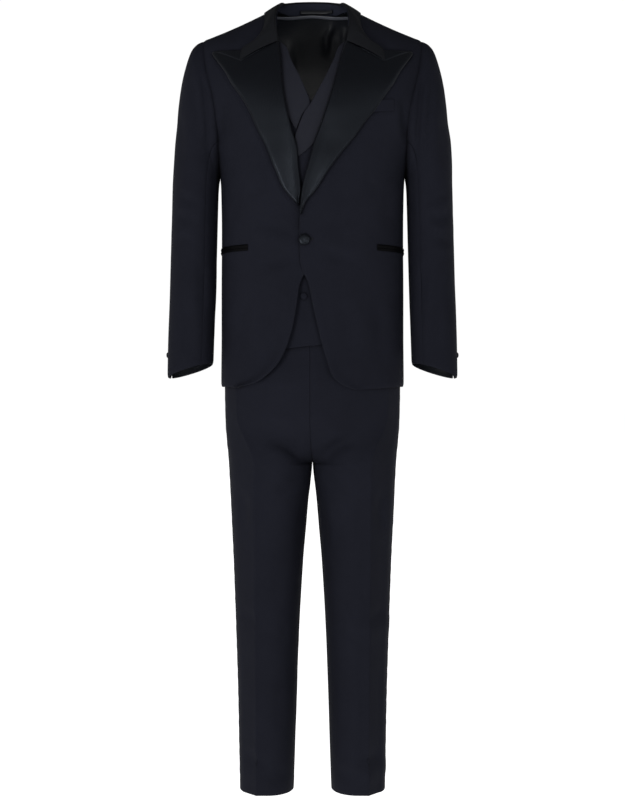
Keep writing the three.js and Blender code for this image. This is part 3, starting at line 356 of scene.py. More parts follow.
def on_sleeve(share, degrees, hand):
    """A place on a sleeve by its share of the way from the armhole to the cuff, and degrees round it."""
    out_x, out_z, in_x, in_z, deep, y, own = np.moveaxis(spline(SLEEVE, share), -1, 0)
    turn = np.radians(degrees)

    def ring(out_x, out_z, in_x, in_z, deep, y):
        cosine, sine = rounded(turn, SLEEVE_ROUND)
        return stack(mix(in_x, out_x, (1 + cosine) / 2), y - deep * sine, mix(in_z, out_z, (1 + cosine) / 2))

    seam = on_torso(armhole_spot(degrees, 1)) - ring(*SLEEVE[0][:6])
    point = ring(out_x, out_z, in_x, in_z, deep, y) + seam * np.maximum(0, own)[..., None]
    point[..., 2] += smooth(share, CUFF_FROM, 1) * (CUFF_SLOPE * np.sin(turn) - CUFF_DROP)
    return point * (hand, 1, 1)


def sleeve_middle(share, hand):
    """The middle of a sleeve's section."""
    return on_sleeve(np.asarray(share)[..., None], np.array([0.0, 90.0, 180.0, 270.0]), hand).mean(axis=-2)


def on_trouser(s, z, side, hand):
    """Half of one leg and of the seat above it, from the inseam (s 0) to the outseam (s 1)."""
    degrees = mix(-90, 90, s)
    turn = np.radians(degrees)
    cosine, sine = rounded(turn, LEG_ROUND)
    beyond = degrees - CREASE_ANGLE
    off = np.abs(beyond) / np.where(beyond > 0, CREASE_WIDTH * 0.7, CREASE_WIDTH)
    seat_share = smooth(z, CROTCH - 30, WAIST - 60)
    hollow = CREASE_HOLLOW[hand] * np.exp(-(((beyond - HOLLOW_ANGLE) / HOLLOW_WIDTH) ** 2))
    ridge = (CREASE_HEIGHT * np.maximum(0, 1 - off) ** 1.5 - hollow) * (1 - 0.5 * seat_share)
    middle, width = (leg_outer(z) + leg_inner(z)) / 2, (leg_outer(z) - leg_inner(z)) / 2
    leg = stack(middle + width * sine, leg_y(z) + side * (leg_deep(z) * cosine + ridge), z)
    drop = np.clip((SEAT - z) / (SEAT - CROTCH), 0, 1)
    fork, hip = np.sqrt(1 - drop * drop), smooth(1 - drop, 0, 1)
    seam = spot_at(hand * FLY_X * fork if side < 0 else CENTRE, z, side)[..., 0]
    lift = mix(HIP_LIFT, WAIST_LIFT, smooth(z, *UNDER_VEST))
    seat = on_torso(stack(mix(seam, math.pi / 2, s), z - YOKE), lift)
    seat[..., 1] += side * ridge * 0.6
    share = np.where(z > CROTCH, mix(fork, hip, smooth(s, 0, 0.45)), 0)
    point = mix(leg, seat, share[..., None])
    point[..., 2] = z
    return point * (hand, 1, 1)


# ---- Cloth: grids of points, folds and closed walls ----------------------------------------------


def stations(count, span, edge=1.0):
    """Shares across a piece that is span mm wide, with one more close to each edge."""
    even = np.linspace(0, 1, count + 1)
    return np.concatenate([[0, edge / span], even[1:-1], [1 - edge / span, 1]])


def grid(place, s, t):
    return place(*np.meshgrid(s, t))


def normals(points, core):
    """Unit normals of a grid of points, pointing away from core."""
    across, along = np.gradient(points, axis=1), np.gradient(points, axis=0)
    normal = np.cross(across, along)
    normal /= np.maximum(np.linalg.norm(normal, axis=-1, keepdims=True), 1e-9)
    if np.sum(normal * (points - core)) < 0:
        normal = -normal
    return normal


def lengths(points, axis):
    """Distance in mm along a grid's rows or columns from their start."""
    step = np.linalg.norm(np.diff(points, axis=axis), axis=-1)
    return np.insert(np.cumsum(step, axis=axis), 0, 0, axis=axis)


def near_line(points, line):
    """Distance from a line of x and z, the share of the way along it, and the distance signed by the line's left."""
    line = np.asarray(line, float)
    here = points[..., [0, 2]]
    span = np.linalg.norm(np.diff(line, axis=0), axis=1)
    start = np.concatenate([[0], np.cumsum(span)])
    best, place, signed = np.full(here.shape[:-1], 1e9), np.zeros(here.shape[:-1]), np.zeros(here.shape[:-1])
    for a, b, size, before in zip(line, line[1:], span, start):
        along = (b - a) / size
        t = np.clip((here - a) @ along, 0, size)
        off = here - a - t[..., None] * along
        distance = np.linalg.norm(off, axis=-1)
        nearer = distance < best
        best = np.where(nearer, distance, best)
        place = np.where(nearer, (before + t) / start[-1], place)
        signed = np.where(nearer, off[..., 0] * -along[1] + off[..., 1] * along[0], signed)
    return best, place, signed


RIDGE_SHARE = 0.45  # height of the ridge beside a fold, as a share of the fold's depth


def fold(points, line, width, depth):
    """A soft trough of a depth in mm along a line, with a lower ridge on its left and both ends fading out."""
    best, place, signed = near_line(points, line)
    fade = smooth(place, 0, 0.3) * (1 - smooth(place, 0.6, 1))
    beside = np.exp(-(((signed - 1.7 * width) / (1.2 * width)) ** 2))
    return depth * fade * (RIDGE_SHARE * beside - np.exp(-((best / width) ** 2)))


def groove(points, line, width, depth):
    """A narrow valley along a line on the front, without the ridge and the fading ends of a fold."""
    return np.where(points[..., 1] < 0, -depth * np.exp(-((near_line(points, line)[0] / width) ** 2)), 0)


def ripple(values, *waves):
    """A sum of waves of (length, height, phase): the slight unevenness of cloth."""
    return sum(height * np.sin(values * 2 * math.pi / length + phase) for length, height, phase in waves)


def edge_ways(points):
    """For each side of a grid, the distance from it and the distance along it."""
    across, along = lengths(points, 1), lengths(points, 0)
    return {
        "s0": (across, along), "s1": (across[:, -1:] - across, along),
        "t0": (along, across), "t1": (along[-1:] - along, across),
    }


ALL_SIDES = ("s0", "s1", "t0", "t1")
SEAM_DEPTH, SEAM_REACH, PUCKER = 0.7, 2.6, 0.18
TURN_DEPTH, TURN_REACH = 1.1, 3.2


def sewn(points, sides, depth=SEAM_DEPTH):
    """How far the cloth sinks into the seams on its sides: s0 and s1 across, t0 and t1 along."""
    ways, sink = edge_ways(points), 0
    for side in sides:
        distance, place = ways[side]
        pucker = ripple(place, (31, PUCKER, 0.4), (19, PUCKER * 0.7, 2)) * np.exp(-(((distance - 6) / 6) ** 2))
        sink = sink - depth * np.exp(-((distance / SEAM_REACH) ** 2)) + pucker
    return sink


def turned_edge(points, sides):
    """How a free edge curves under where its facing is turned and pressed."""
    ways = edge_ways(points)
    return sum(-TURN_DEPTH * np.exp(-((ways[side][0] / TURN_REACH) ** 2)) for side in sides)


def sided(name, hand):
    """The name of one of a pair, on the wearer's left or right."""
    return f"{name}_{'left' if hand > 0 else 'right'}"


def moved(points, core, distance):
    """Moves a grid out along its normals."""
    return points + normals(points, core) * np.asarray(distance)[..., None]


def mesh_object(name, verts, faces, *materials):
    """An object with a smooth mesh, from places in mm."""
    mesh = bpy.data.meshes.new(name)
    mesh.from_pydata((np.asarray(verts) * MM).tolist(), [], faces)
    for material in materials:
        mesh.materials.append(material)
    mesh.polygons.foreach_set("use_smooth", np.ones(len(mesh.polygons), bool))
    obj = bpy.data.objects.new(name, mesh)
    bpy.context.collection.objects.link(obj)
    return obj


def shell(name, points, wall, core, material, lining=None, free=ALL_SIDES):
    """A closed wall of cloth from a grid of its outer face. Free edges are rounded, and sewn ones meet flat."""
    rows, columns = points.shape[:2]
    normal = normals(points, core)
    inner = points - normal * wall
    loop = (
        [(0, i) for i in range(columns)] + [(j, columns - 1) for j in range(1, rows)]
        + [(rows - 1, i) for i in range(columns - 2, -1, -1)] + [(j, 0) for j in range(rows - 2, 0, -1)]
    )
    j, i = np.array(loop).T
    out = np.zeros((len(loop), 3))
    sides = {
        "s0": (i == 0, 0, 1), "s1": (i == columns - 1, 0, -1),
        "t0": (j == 0, 1, 0), "t1": (j == rows - 1, -1, 0),
    }
    for side, (mask, dj, di) in sides.items():
        if side in free:
            away = points[j[mask], i[mask]] - points[j[mask] + dj, i[mask] + di]
            out[mask] += away / np.maximum(np.linalg.norm(away, axis=1, keepdims=True), 1e-9)
    out /= np.maximum(np.linalg.norm(out, axis=1, keepdims=True), 1)
    rim = (points[j, i] + inner[j, i]) / 2 + out * wall * 0.5
    layer = rows * columns
    verts = np.concatenate([points.reshape(-1, 3), inner.reshape(-1, 3), rim])
    index = np.arange(layer).reshape(rows, columns)
    a, b, c, d = index[:-1, :-1].ravel(), index[:-1, 1:].ravel(), index[1:, 1:].ravel(), index[1:, :-1].ravel()
    outer_faces = np.stack([a, b, c, d], 1)
    inner_faces = np.stack([a, d, c, b], 1) + layer
    edge = index[j, i]
    after = np.roll(edge, -1)
    ring = 2 * layer + np.arange(len(loop))
    ring_after = np.roll(ring, -1)
    outer_rim = np.stack([after, edge, ring, ring_after], 1)
    inner_rim = np.stack([ring_after, ring, edge + layer, after + layer], 1)
    faces = np.concatenate([outer_faces, inner_faces, outer_rim, inner_rim])
    turned = np.cross(points[0, 1] - points[0, 0], points[1, 0] - points[0, 0]) @ normal[0, 0]
    if turned < 0:
        faces = faces[:, ::-1]
    obj = mesh_object(name, verts, faces.tolist(), material, *([lining] if lining else []))
    mesh = obj.data
    if lining:
        indices = np.zeros(len(faces), np.int32)
        indices[len(outer_faces):len(outer_faces) * 2] = 1
        mesh.polygons.foreach_set("material_index", indices)
    u, v = lengths(points, 1) * MM, lengths(points, 0) * MM
    flat = np.stack([u.ravel(), v.ravel()], 1)
    flat = np.concatenate([flat, flat, flat[edge]])
    corner = np.empty(len(mesh.loops), np.int32)
    mesh.loops.foreach_get("vertex_index", corner)
    mesh.uv_layers.new(name="cloth").data.foreach_set("uv", flat[corner].ravel())
    mesh.update()
    return obj


def finish_piece(obj, slot, *nodes):
    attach(obj, ORIGIN_BODY)
    if nodes:
        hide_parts(*nodes)
    return obj


def garment(name, points, wall, core, look, slot, inside=None, free=()):
    """One cut piece of cloth that replaces the node of its own name."""
    obj = shell(f"{name}_cloth", points, wall, core, look, inside, free)
    finish_piece(obj, slot, name)
    return obj


def stitches(name, line, normal, pitch, long, wide, slot="wool"):
    """A row of single stitches along a line of points in mm, each a small spindle of thread."""
    place = np.concatenate([[0], np.cumsum(np.linalg.norm(np.diff(line, axis=0), axis=1))])
    centres = np.arange(pitch / 2, place[-1], pitch)
    at, up = (np.stack([np.interp(centres, place, values[:, k]) for k in range(3)], 1) for values in (line, normal))
    ahead, before = (
        np.stack([np.interp(centres + step, place, line[:, k]) for k in range(3)], 1) for step in (0.5, -0.5)
    )
    along = ahead - before
    along /= np.maximum(np.linalg.norm(along, axis=1, keepdims=True), 1e-9)
    up /= np.linalg.norm(up, axis=1, keepdims=True)
    side = np.cross(up, along)
    corners = [
        along * long / 2, side * wide / 2, -along * long / 2, -side * wide / 2, up * wide * 0.7, -up * wide * 0.5,
    ]
    verts = np.stack([at + up * wide * 0.15 + corner for corner in corners], 1).reshape(-1, 3)
    faces = [(0, 1, 4), (1, 2, 4), (2, 3, 4), (3, 0, 4), (1, 0, 5), (2, 1, 5), (3, 2, 5), (0, 3, 5)]
    every = [tuple(6 * k + v for v in face) for k in range(len(centres)) for face in faces]
    obj = mesh_object(name, verts, every, cloth("thread"))
    obj.data.uv_layers.new(name="cloth")
    return finish_piece(obj, slot)


def edge_stitches(name, points, side, core, inset=1.8, pitch=5.0):
    """Pick stitches, inset from one side of a piece."""
    if side == "s1":
        points, core = points[:, ::-1], core[:, ::-1]
    distance = lengths(points, 1)
    normal = normals(points, core)
    line, up = (
        np.array([[np.interp(inset, distance[j], row[:, k]) for k in range(3)] for j, row in enumerate(values)])
        for values in (points, normal)
    )
    return stitches(name, line, up, pitch, long=2.6, wide=0.7)


def buttonhole():
    """The worked buttonhole of the closure: close stitches round a slit, with a rounder end towards the edge."""
    length, half, eye, x_end, height = 24.0, 1.5, 1.9, -0.5, -449.0
    turn = np.linspace(-math.pi / 2, math.pi / 2, 9)
    outline = [(x, height - half) for x in np.linspace(x_end - length, x_end, 30)]
    outline += [(x_end + eye * math.cos(a), height + eye * math.sin(a)) for a in turn]
    outline += [(x, height + half) for x in np.linspace(x_end, x_end - length, 30)]
    x, z = np.array(outline).T
    line = on_front(spot_at(x, z, -1), 0.5, 1)
    return stitches("front_buttonhole", line, outward(line), pitch=0.8, long=1.6, wide=0.9)


# ---- Materials -----------------------------------------------------------------------------------


def suit():
    return bpy.context.scene.suit


def linear(colour):
    """An sRGB hex colour as linear RGBA."""
    parts = [int(colour[i:i + 2], 16) / 255 for i in (1, 3, 5)]
    return (*(c / 12.92 if c <= 0.04045 else ((c + 0.055) / 1.055) ** 2.4 for c in parts), 1)


def add(tree, kind, settings=None, links=None):
    """Adds a node, sets its properties and input values, and links its inputs to outputs."""
    made = tree.nodes.new(kind)
    for key, value in (settings or {}).items():
        if isinstance(key, str) and hasattr(made, key):
            setattr(made, key, value)
        else:
            made.inputs[key].default_value = value
    for key, output in (links or {}).items():
        tree.links.new(output, made.inputs[key])
    return made


YARN_GAIN = 1.5  # how much lighter the palest yarn of a cloth is than its darkest
PAINTED_SHADE_REACH = 0.012  # painted shade: how near, in metres, another layer has to lie for ambient occlusion to darken the cloth's colour beside it
# A wool's rib is really 0.6 mm and a satin's twill 0.3 mm, which is under a third of a pixel, so they are drawn at
# 1.3 and 1.2 mm, here in metres
RIB, TWILL = 0.0013, 0.0012
WAVE_RADIANS = 20  # what a Wave Texture counts per unit at scale 1

# By the setting of its colour: name, weave (turn, size, weft's count against the warp's, waver), shader, bump
CLOTHS = {
    # Worsted wool barathea, woven and steam pressed: a matt, almost black navy with a faint broken twill.
    "wool": ("Worsted Wool Barathea", (0.6, RIB, 0.6, 1.5), {"Roughness": 0.88, "Specular IOR Level": 0.06}, 0.3),
    # The waistcoat's worsted, woven plainer and pressed flatter: a shade paler, and a little sheen that lifts it.
    "waistcoat": (
        "Pressed Waistcoat Worsted", (0.3, RIB, 0.8, 1.2), {"Roughness": 0.7, "Specular IOR Level": 0.1}, 0.25,
    ),
    # The same barathea pressed over the collar's canvas, a little flatter; its darker, greyer black is painted shade
    # on the collar.
    "collar": ("Pressed Collar Barathea", (0.9, RIB, 0.6, 1.5), {"Roughness": 0.8, "Specular IOR Level": 0.08}, 0.2),
    # Felted wool melton under the collar, with no thread showing and a short nap; its soft grey blue is partly the
    # melton's own and partly painted light, paler to stand in for the light that falls into the neck.
    "under_collar": (
        "Felted Collar Melton", (0.0, RIB, 1.0, 6.0), {"Roughness": 0.95, "Specular IOR Level": 0.05}, 0.2,
    ),
    # Silk satin, woven with long floats and pressed over canvas: near black, and a soft blue gloss where it turns.
    "satin": (
        "Silk Satin", (1.2, TWILL, 0.2, 0.8),
        {"Roughness": 0.3, "Specular IOR Level": 0.17, "Specular Tint": linear("#CAD6E8"), "Anisotropic": 0.3}, 0.1,
    ),
    # Silk satin cut on the bias and corded into jets, coloured near black as painted shadow: it stands in for the
    # shade in the pocket's opening.
    "piping": ("Bias Satin Piping", (0.8, TWILL, 0.3, 0.6), {"Roughness": 0.6, "Specular IOR Level": 0.05}, 0.12),
    # Cupro satin lining: slippery and thin, a greyer blue than the wool with bright narrow lights on its creases.
    "lining": ("Cupro Satin Lining", (0.0, TWILL, 0.3, 0.5), {"Roughness": 0.42, "Specular IOR Level": 0.28}, 0.1),
    # Cupro satin pressed into a narrow double band, with a wide gloss: its steel grey, the palest cloth of the suit,
    # is partly its own and partly painted highlight for the light the satin catches below the collar.
    "binding": ("Cupro Satin Binding", (0.2, TWILL, 0.3, 0.4), {"Roughness": 0.42, "Specular IOR Level": 0.5}, 0.12),
    # Twisted silk thread: rounder and a little glossier than the wool it is sewn through.
    "thread": ("Twisted Silk Thread", (0.8, TWILL, 0.5, 0.2), {"Roughness": 0.5, "Specular IOR Level": 0.35}, 0.3),
}


def cloth(kind):
    """A woven cloth: warp and weft as crossed waves, mottled yarn, a bump from both, and painted shade that darkens
    its colour where other layers lie close.
    """
    name, (turn, size, weft_count, waver), settings, bump = CLOTHS[kind]
    material = bpy.data.materials.get(name)
    if material:
        return material
    material = bpy.data.materials.new(name)
    material.use_nodes = True
    tree = material.node_tree
    shader = tree.nodes["Principled BSDF"]
    for key, value in settings.items():
        shader.inputs[key].default_value = value
    uv = add(tree, "ShaderNodeUVMap", {"uv_map": "cloth"})
    turned = add(tree, "ShaderNodeMapping", {"Rotation": (0, 0, turn)}, {"Vector": uv.outputs[0]})
    flat, solid = {"Vector": turned.outputs[0]}, {"Vector": add(tree, "ShaderNodeTexCoord").outputs["Object"]}
    scale = 2 * math.pi / (WAVE_RADIANS * size)
    broken = {"Scale": scale, "Distortion": waver, "Detail": 2.0, "Detail Scale": 2.0}
    plain = {"bands_direction": "Y", "Scale": scale * weft_count, "Distortion": waver}
    warp = add(tree, "ShaderNodeTexWave", broken, flat).outputs["Fac"]
    weft = add(tree, "ShaderNodeTexWave", plain, flat).outputs["Fac"]
    mottle = add(tree, "ShaderNodeTexNoise", {"Scale": 9.0, "Detail": 5.0, "Roughness": 0.6}, solid).outputs["Fac"]
    slub = add(tree, "ShaderNodeTexNoise", {"Scale": 420.0, "Detail": 2.0}, solid).outputs["Fac"]
    threads = add(tree, "ShaderNodeMath", {"operation": "MULTIPLY"}, {0: warp, 1: weft}).outputs[0]
    part = {"operation": "MULTIPLY_ADD"}
    blend = add(tree, "ShaderNodeMath", {**part, 1: 0.35, 2: 0.1}, {0: threads}).outputs[0]
    both = add(tree, "ShaderNodeMath", {**part, 1: 0.5}, {0: mottle, 2: blend}).outputs[0]
    colour = add(tree, "ShaderNodeValToRGB", None, {0: both})
    for element, position, gain in zip(colour.color_ramp.elements, (0.25, 0.75), (1, YARN_GAIN)):
        element.color, element.position = (*(gain * c for c in getattr(suit(), kind)), 1), position
    height = add(tree, "ShaderNodeMath", {**part, 1: 0.6}, {0: slub, 2: threads}).outputs[0]
    relief = add(tree, "ShaderNodeBump", {"Strength": bump, "Distance": 0.0004}, {"Height": height})
    # Painted shade: ambient occlusion darkens the base colour where other layers lie close, in creases and under
    # edges.
    shade = add(tree, "ShaderNodeAmbientOcclusion", {"samples": 8, "Distance": PAINTED_SHADE_REACH}, {"Color": colour.outputs[0]})
    tree.links.new(shade.outputs["Color"], shader.inputs["Base Color"])
    tree.links.new(relief.outputs[0], shader.inputs["Normal"])
    return material


# ---- Jacket --------------------------------------------------------------------------------------

# How far the cutaway edge stands off, how wide that reaches, and the heights between which it begins
CUTAWAY_LIFT, CUTAWAY_REACH, CUTAWAY_TOP, CUTAWAY_FULL = {1: 3.5, -1: 9.0}, 16.0, -470.0, -560.0

# Where the left front's edge presses the right front in, with a width and a depth
BESIDE_CLOSURE, CLOSURE_SIZE = [(-19, -352), (-25.5, -376), (-27.5, -398), (-28.5, -426)], (3.2, 2.6)
# The same below the lapels' outer edges and below the welt: distance from them, width and depth
UNDER_LAPEL, UNDER_WELT = (2.4, 2.6, 1.6), (1.6, 2.0, 1.5)

# Folds: a line of x and z on the wearer's left, a width and a depth
FRONT_FOLDS = {
    1: [
        ([(8, -436), (62, -414), (118, -398)], 13, 1.5), ([(6, -468), (56, -486), (104, -492)], 12, 1.3),
        ([(188, -262), (180, -212), (178, -160)], 9, 2.0), ([(150, -330), (146, -384), (152, -432)], 14, 1.3),
        ([(58, -560), (72, -624), (70, -700)], 16, 1.8), ([(128, -560), (134, -640), (130, -715)], 15, 1.5),
        ([(168, -90), (150, -74), (120, -62)], 9, 1.0), ([(96, -318), (120, -346), (128, -390)], 12, 0.9),
    ],
    -1: [
        ([(22, -440), (70, -426), (122, -418)], 12, 1.4), ([(22, -470), (64, -492), (112, -506)], 13, 1.5),
        ([(187, -268), (179, -222), (176, -150)], 10, 1.9), ([(152, -322), (150, -372), (157, -424)], 13, 1.2),
        ([(76, -560), (84, -616), (82, -690)], 14, 1.7), ([(136, -548), (140, -630), (137, -712)], 16, 1.6),
        ([(170, -94), (146, -80), (118, -70)], 10, 0.9), ([(92, -330), (112, -356), (134, -372)], 11, 0.9),
    ],
}
BACK_FOLDS = [
    ([(176, -270), (164, -212), (158, -140)], 10, 2.2), ([(150, -300), (138, -240), (134, -190)], 11, 1.5),
    ([(30, -420), (84, -436), (138, -424)], 14, 1.6), ([(46, -468), (96, -484), (142, -476)], 13, 1.3),
    ([(60, -540), (66, -620), (62, -705)], 17, 1.9), ([(122, -520), (128, -612), (124, -706)], 15, 1.6),
    ([(24, -60), (60, -66), (104, -72)], 12, 0.9),
]


def torso_core(points):
    core = points.copy()
    core[..., :2] = 0
    return core


def flare(point):
    """How far the skirt of the jacket stands off towards its hem, in front and behind but not at the sides."""
    low, inside = 1 - smooth(point[..., 2], JACKET_HEM, -640), 1 - smooth(np.abs(point[..., 0]), 90, 165)
    return suit().hem_flare / MM * low**1.5 * inside


def jacket_front_points(hand):
    lapel_foot = LAPEL[hand][0][1]

    def place(s, t):
        inner = on_curve(EDGE[hand], t, hand)
        outer = side_edge(t, FRONT_SIDE_SHARE, FRONT_SIDE_SEAM, FRONT_MEETS, 0, hand)
        z = on_torso(inner)[..., 2]
        tuck = TUCK * smooth(z, lapel_foot + 2, lapel_foot + 22) * (1 - smooth(z, -72, -52))
        spot = mix(inner, outer, (tuck + (1 - tuck) * s)[..., None])
        flat = on_torso(spot)
        return on_front(spot, flare(flat), hand)

    return grid(place, stations(44, 180), stations(150, 780))


def folded(points, folds, core, front=True):
    """Moves cloth into its folds, which are placed by x and z on its front or its back."""
    shows = points[..., 1] < 15 if front else points[..., 1] > -15
    depth = suit().fold_gain * sum(np.where(shows, fold(points, *row), 0) for row in folds)
    return moved(points, core, depth)


def mirrored(folds, hand, change=1.0):
    return [([(hand * x, z) for x, z in line], width, depth * change) for line, width, depth in folds]


def jacket_front(hand):
    name = sided("jacket_front", hand)
    points = jacket_front_points(hand)
    core = torso_core(points)
    cutaway = 1 - smooth(points[..., 2], CUTAWAY_FULL, CUTAWAY_TOP)
    stand_off = CUTAWAY_LIFT[hand] * cutaway * np.exp(-((lengths(points, 1) / CUTAWAY_REACH) ** 2))
    points = moved(points, core, stand_off)
    points = folded(points, mirrored(FRONT_FOLDS[hand], hand), core)
    off, *size = UNDER_LAPEL
    under = np.array(LAPEL[hand], float)[:-1, 2:] * (hand, 1) + (hand * off, -off)
    sink = sewn(points, ["s1"]) + turned_edge(points, ["s0", "t0"]) + groove(points, under, *size)
    if hand > 0:
        inner_x, outer_x, inner_z, outer_z, _ = WELT
        off, *size = UNDER_WELT
        sink = sink + groove(points, [(inner_x, inner_z - off), (outer_x, outer_z - off)], *size)
    else:
        sink = sink + groove(points, BESIDE_CLOSURE, *CLOSURE_SIZE)
    points = moved(points, core, sink)
    if hand > 0:
        buttonhole()
    edge_stitches(f"{name}_pick_stitch", points, "s0", core)
    return garment(name, points, WALL, core, cloth("wool"), "wool", cloth("lining"), ("s0", "t0"))


def jacket_side(hand):
    name = sided("jacket_side", hand)

    def place(s, t):
        low = spot_round(hand * mix(FRONT_SIDE_SEAM, BACK_SIDE_SEAM, s), JACKET_HEM)
        high = armhole_spot(mix(FRONT_MEETS, BACK_MEETS, s), hand)
        spot = mix(low, high, t[..., None])
        return on_torso(spot, flare(on_torso(spot)))

    points = grid(place, stations(24, 110), stations(90, 415))
    core = torso_core(points)
    sink = sewn(points, ["s0", "s1"]) + turned_edge(points, ["t0"])
    points = moved(points, core, sink)
    return garment(name, points, WALL, core, cloth("wool"), "wool", cloth("lining"), ("t0",))


def neck_spot(share, hand):
    centre, neck = spot_at(hand * CENTRE, NECK_RISE, 1), spot_at(hand * NECK_X, seam_height(NECK_X), 1)
    return stack(mix(centre[0], neck[0], share), mix(centre[1], neck[1], share**NECK_DROP))


def back_top(s, share, neck, end):
    """The top of half a back: its neckline from the middle, and then the shoulder seam to its end."""
    seam = mix(neck(np.float64(1)), end, np.clip((s - share) / (1 - share), 0, 1)[..., None])
    seam[..., 1] = YOKE_LEVELS
    return np.where((s <= share)[..., None], neck(np.clip(s / share, 0, 1)), seam)


def back_spot(s, t, share, low, outer, top):
    """Half a back, from its middle to its outer side and from the hem up to its top, which bends the upper rows."""
    start, end = top(np.float64(0)), top(np.float64(1))
    upper = (t - share) / (1 - share)
    level = np.where(upper < 0, mix(low[1], 0, t / share), mix(0, start[1], upper))
    spot = mix(stack(low[0], level), outer, s[..., None])
    return spot + smooth(t, share, 1)[..., None] * (top(s) - mix(start, end, s[..., None]))


def jacket_back(hand):
    name = sided("jacket_back", hand)

    def top(s):
        return back_top(s, BACK_NECK_SHARE, lambda share: neck_spot(share, hand), armhole_spot(360, hand))

    def place(s, t):
        low = spot_at(hand * CENTRE, JACKET_HEM, 1)
        outer = side_edge(t, BACK_SIDE_SHARE, BACK_SIDE_SEAM, BACK_MEETS, 360, hand)
        spot = back_spot(s, t, BACK_SIDE_SHARE, low, outer, top)
        return on_torso(spot, flare(on_torso(spot)))

    points = grid(place, stations(44, 190), stations(140, 780))
    core = torso_core(points)
    sink = sewn(points, ["s0", "s1"]) + turned_edge(points, ["t0"])
    points = moved(points, core, sink)
    points = folded(points, mirrored(BACK_FOLDS, hand, 1.0 if hand > 0 else 0.85), core, False)
    return garment(name, points, WALL, core, cloth("wool"), "wool", cloth("lining"), ("t0",))


def jacket_lapel(hand):
    """The satin facing: it rolls round the front's edge and then lies back over the chest."""
    name = sided("lapel", hand)
    rows = np.asarray(LAPEL[hand], float)
    s, t = np.meshgrid(stations(36, 100), stations(120, 400))
    roll, out = spline(rows[:, :2], t) * (hand, 1), spline(rows[:, 2:], t) * (hand, 1)

    def laid(share, lift):
        at = mix(roll, out, share[..., None])
        return on_front(spot_at(at[..., 0], at[..., 1], -1), lift, hand)

    edge, end = laid(np.zeros_like(s), 0), laid(np.ones_like(s), 0)
    wide = np.linalg.norm(end - edge, axis=-1)
    radius = np.minimum(suit().lapel_roll / MM, ROLL_WIDEST * wide)
    across = laid(np.minimum(1, 6 / np.maximum(wide, 6)), 0) - edge
    across /= np.maximum(np.linalg.norm(across, axis=-1, keepdims=True), 1e-6)
    normal = outward(edge)
    turn = mix(np.radians(ROLL_FROM), math.pi / 2, np.clip(s / ROLL_SHARE, 0, 1))
    centre = edge + across * radius[..., None] + normal * (LAPEL_LIFT - radius)[..., None]
    rolled = centre - across * (radius * np.cos(turn))[..., None] + normal * (radius * np.sin(turn))[..., None]
    start = radius / np.maximum(wide, 1)
    after = np.clip((s - ROLL_SHARE) / (1 - ROLL_SHARE), 0, 1)
    share = start + (1 - start) * after
    swell = (SWELL + LOW_SWELL * (1 - smooth(t, 0.1, 0.75))) * np.sin(np.pi * after) * np.exp(-1.6 * after)
    stand_off = LAPEL_STAND_OFF * smooth(t, 0.02, 0.12) * (1 - smooth(t, 0.3, 0.6)) * smooth(after, 0.25, 0.95)
    depth = PRESS_DEPTH * (1 - 0.5 * (stand_off > 0.3))
    pressed = depth * np.exp(-(((1 - share) * wide / PRESS_REACH) ** 2))
    flat = laid(share, LAPEL_LIFT + swell + stand_off - pressed)
    points = np.where((s < ROLL_SHARE)[..., None], rolled, flat)
    core = torso_core(points)
    edge_stitches(f"{name}_pick_stitch", points[6:-6], "s1", core[6:-6])
    return garment(name, points, SATIN_WALL, core, cloth("satin"), "satin", None, ALL_SIDES)


def fold_point(share):
    rows = np.array([row[:3] for row in COLLAR], float)
    both = np.concatenate([rows, rows[-2::-1] * (-1, 1, 1)])
    return spline(both, share)


def collar_edge(share):
    edge = []
    for hand, rows in ((1, COLLAR), (-1, COLLAR[-2::-1])):
        for row in rows:
            spot = spot_at(hand * row[3], min(row[4], seam_height(row[3])), row[5])
            down = smooth(row[4], *LEAF_OVER_SHOULDER) if row[5] < 0 else 1
            edge.append(on_torso(spot, mix(LEAF_LIFT, SHOULDER_LIFT, down)))
    return spline(np.array(edge), share)


def collar_leaf():
    """The leaf rolls over the fold line and falls over the shoulder seam."""
    angles = np.radians([-80, -60, -40, -20, 0, 20, 40, 60, 78])
    steps = np.concatenate([[0.055, 0.08, 0.11], np.linspace(0.15, 0.985, 20), [1]])
    s, row = np.meshgrid(stations(140, 520), np.arange(len(angles) + len(steps)))
    top, edge = fold_point(s), collar_edge(s)
    down = edge - top
    down /= np.linalg.norm(down, axis=-1, keepdims=True)
    normal = outward(top)
    normal = normal - down * np.sum(normal * down, -1, keepdims=True)
    normal /= np.linalg.norm(normal, axis=-1, keepdims=True)
    turn = np.concatenate([angles, np.zeros(len(steps))])[row]
    step = np.concatenate([np.zeros(len(angles)), steps])[row]
    centre = top + down * COLLAR_ROLL - normal * ROLL_SET_IN
    rolled = centre + COLLAR_ROLL * (normal * np.sin(turn)[..., None] - down * np.cos(turn)[..., None])
    bulges = np.array([line[6] for line in COLLAR], float)
    bulge = np.interp(s, np.linspace(0, 1, 2 * len(COLLAR) - 1), np.concatenate([bulges, bulges[-2::-1]]))
    end_lift = mix(*LEAF_END_LIFT, smooth(edge[..., 2], *LEAF_OVER_SHOULDER))
    lift = mix(COLLAR_ROLL - ROLL_SET_IN, end_lift, step) + bulge * 4 * step * (1 - step)
    flat = mix(top, edge, step[..., None]) + normal * lift[..., None]
    points = np.where((row < len(angles))[..., None], rolled, flat)
    core = torso_core(points)
    return garment("collar_leaf", points, WALL, core, cloth("collar"), "wool", None, ALL_SIDES)


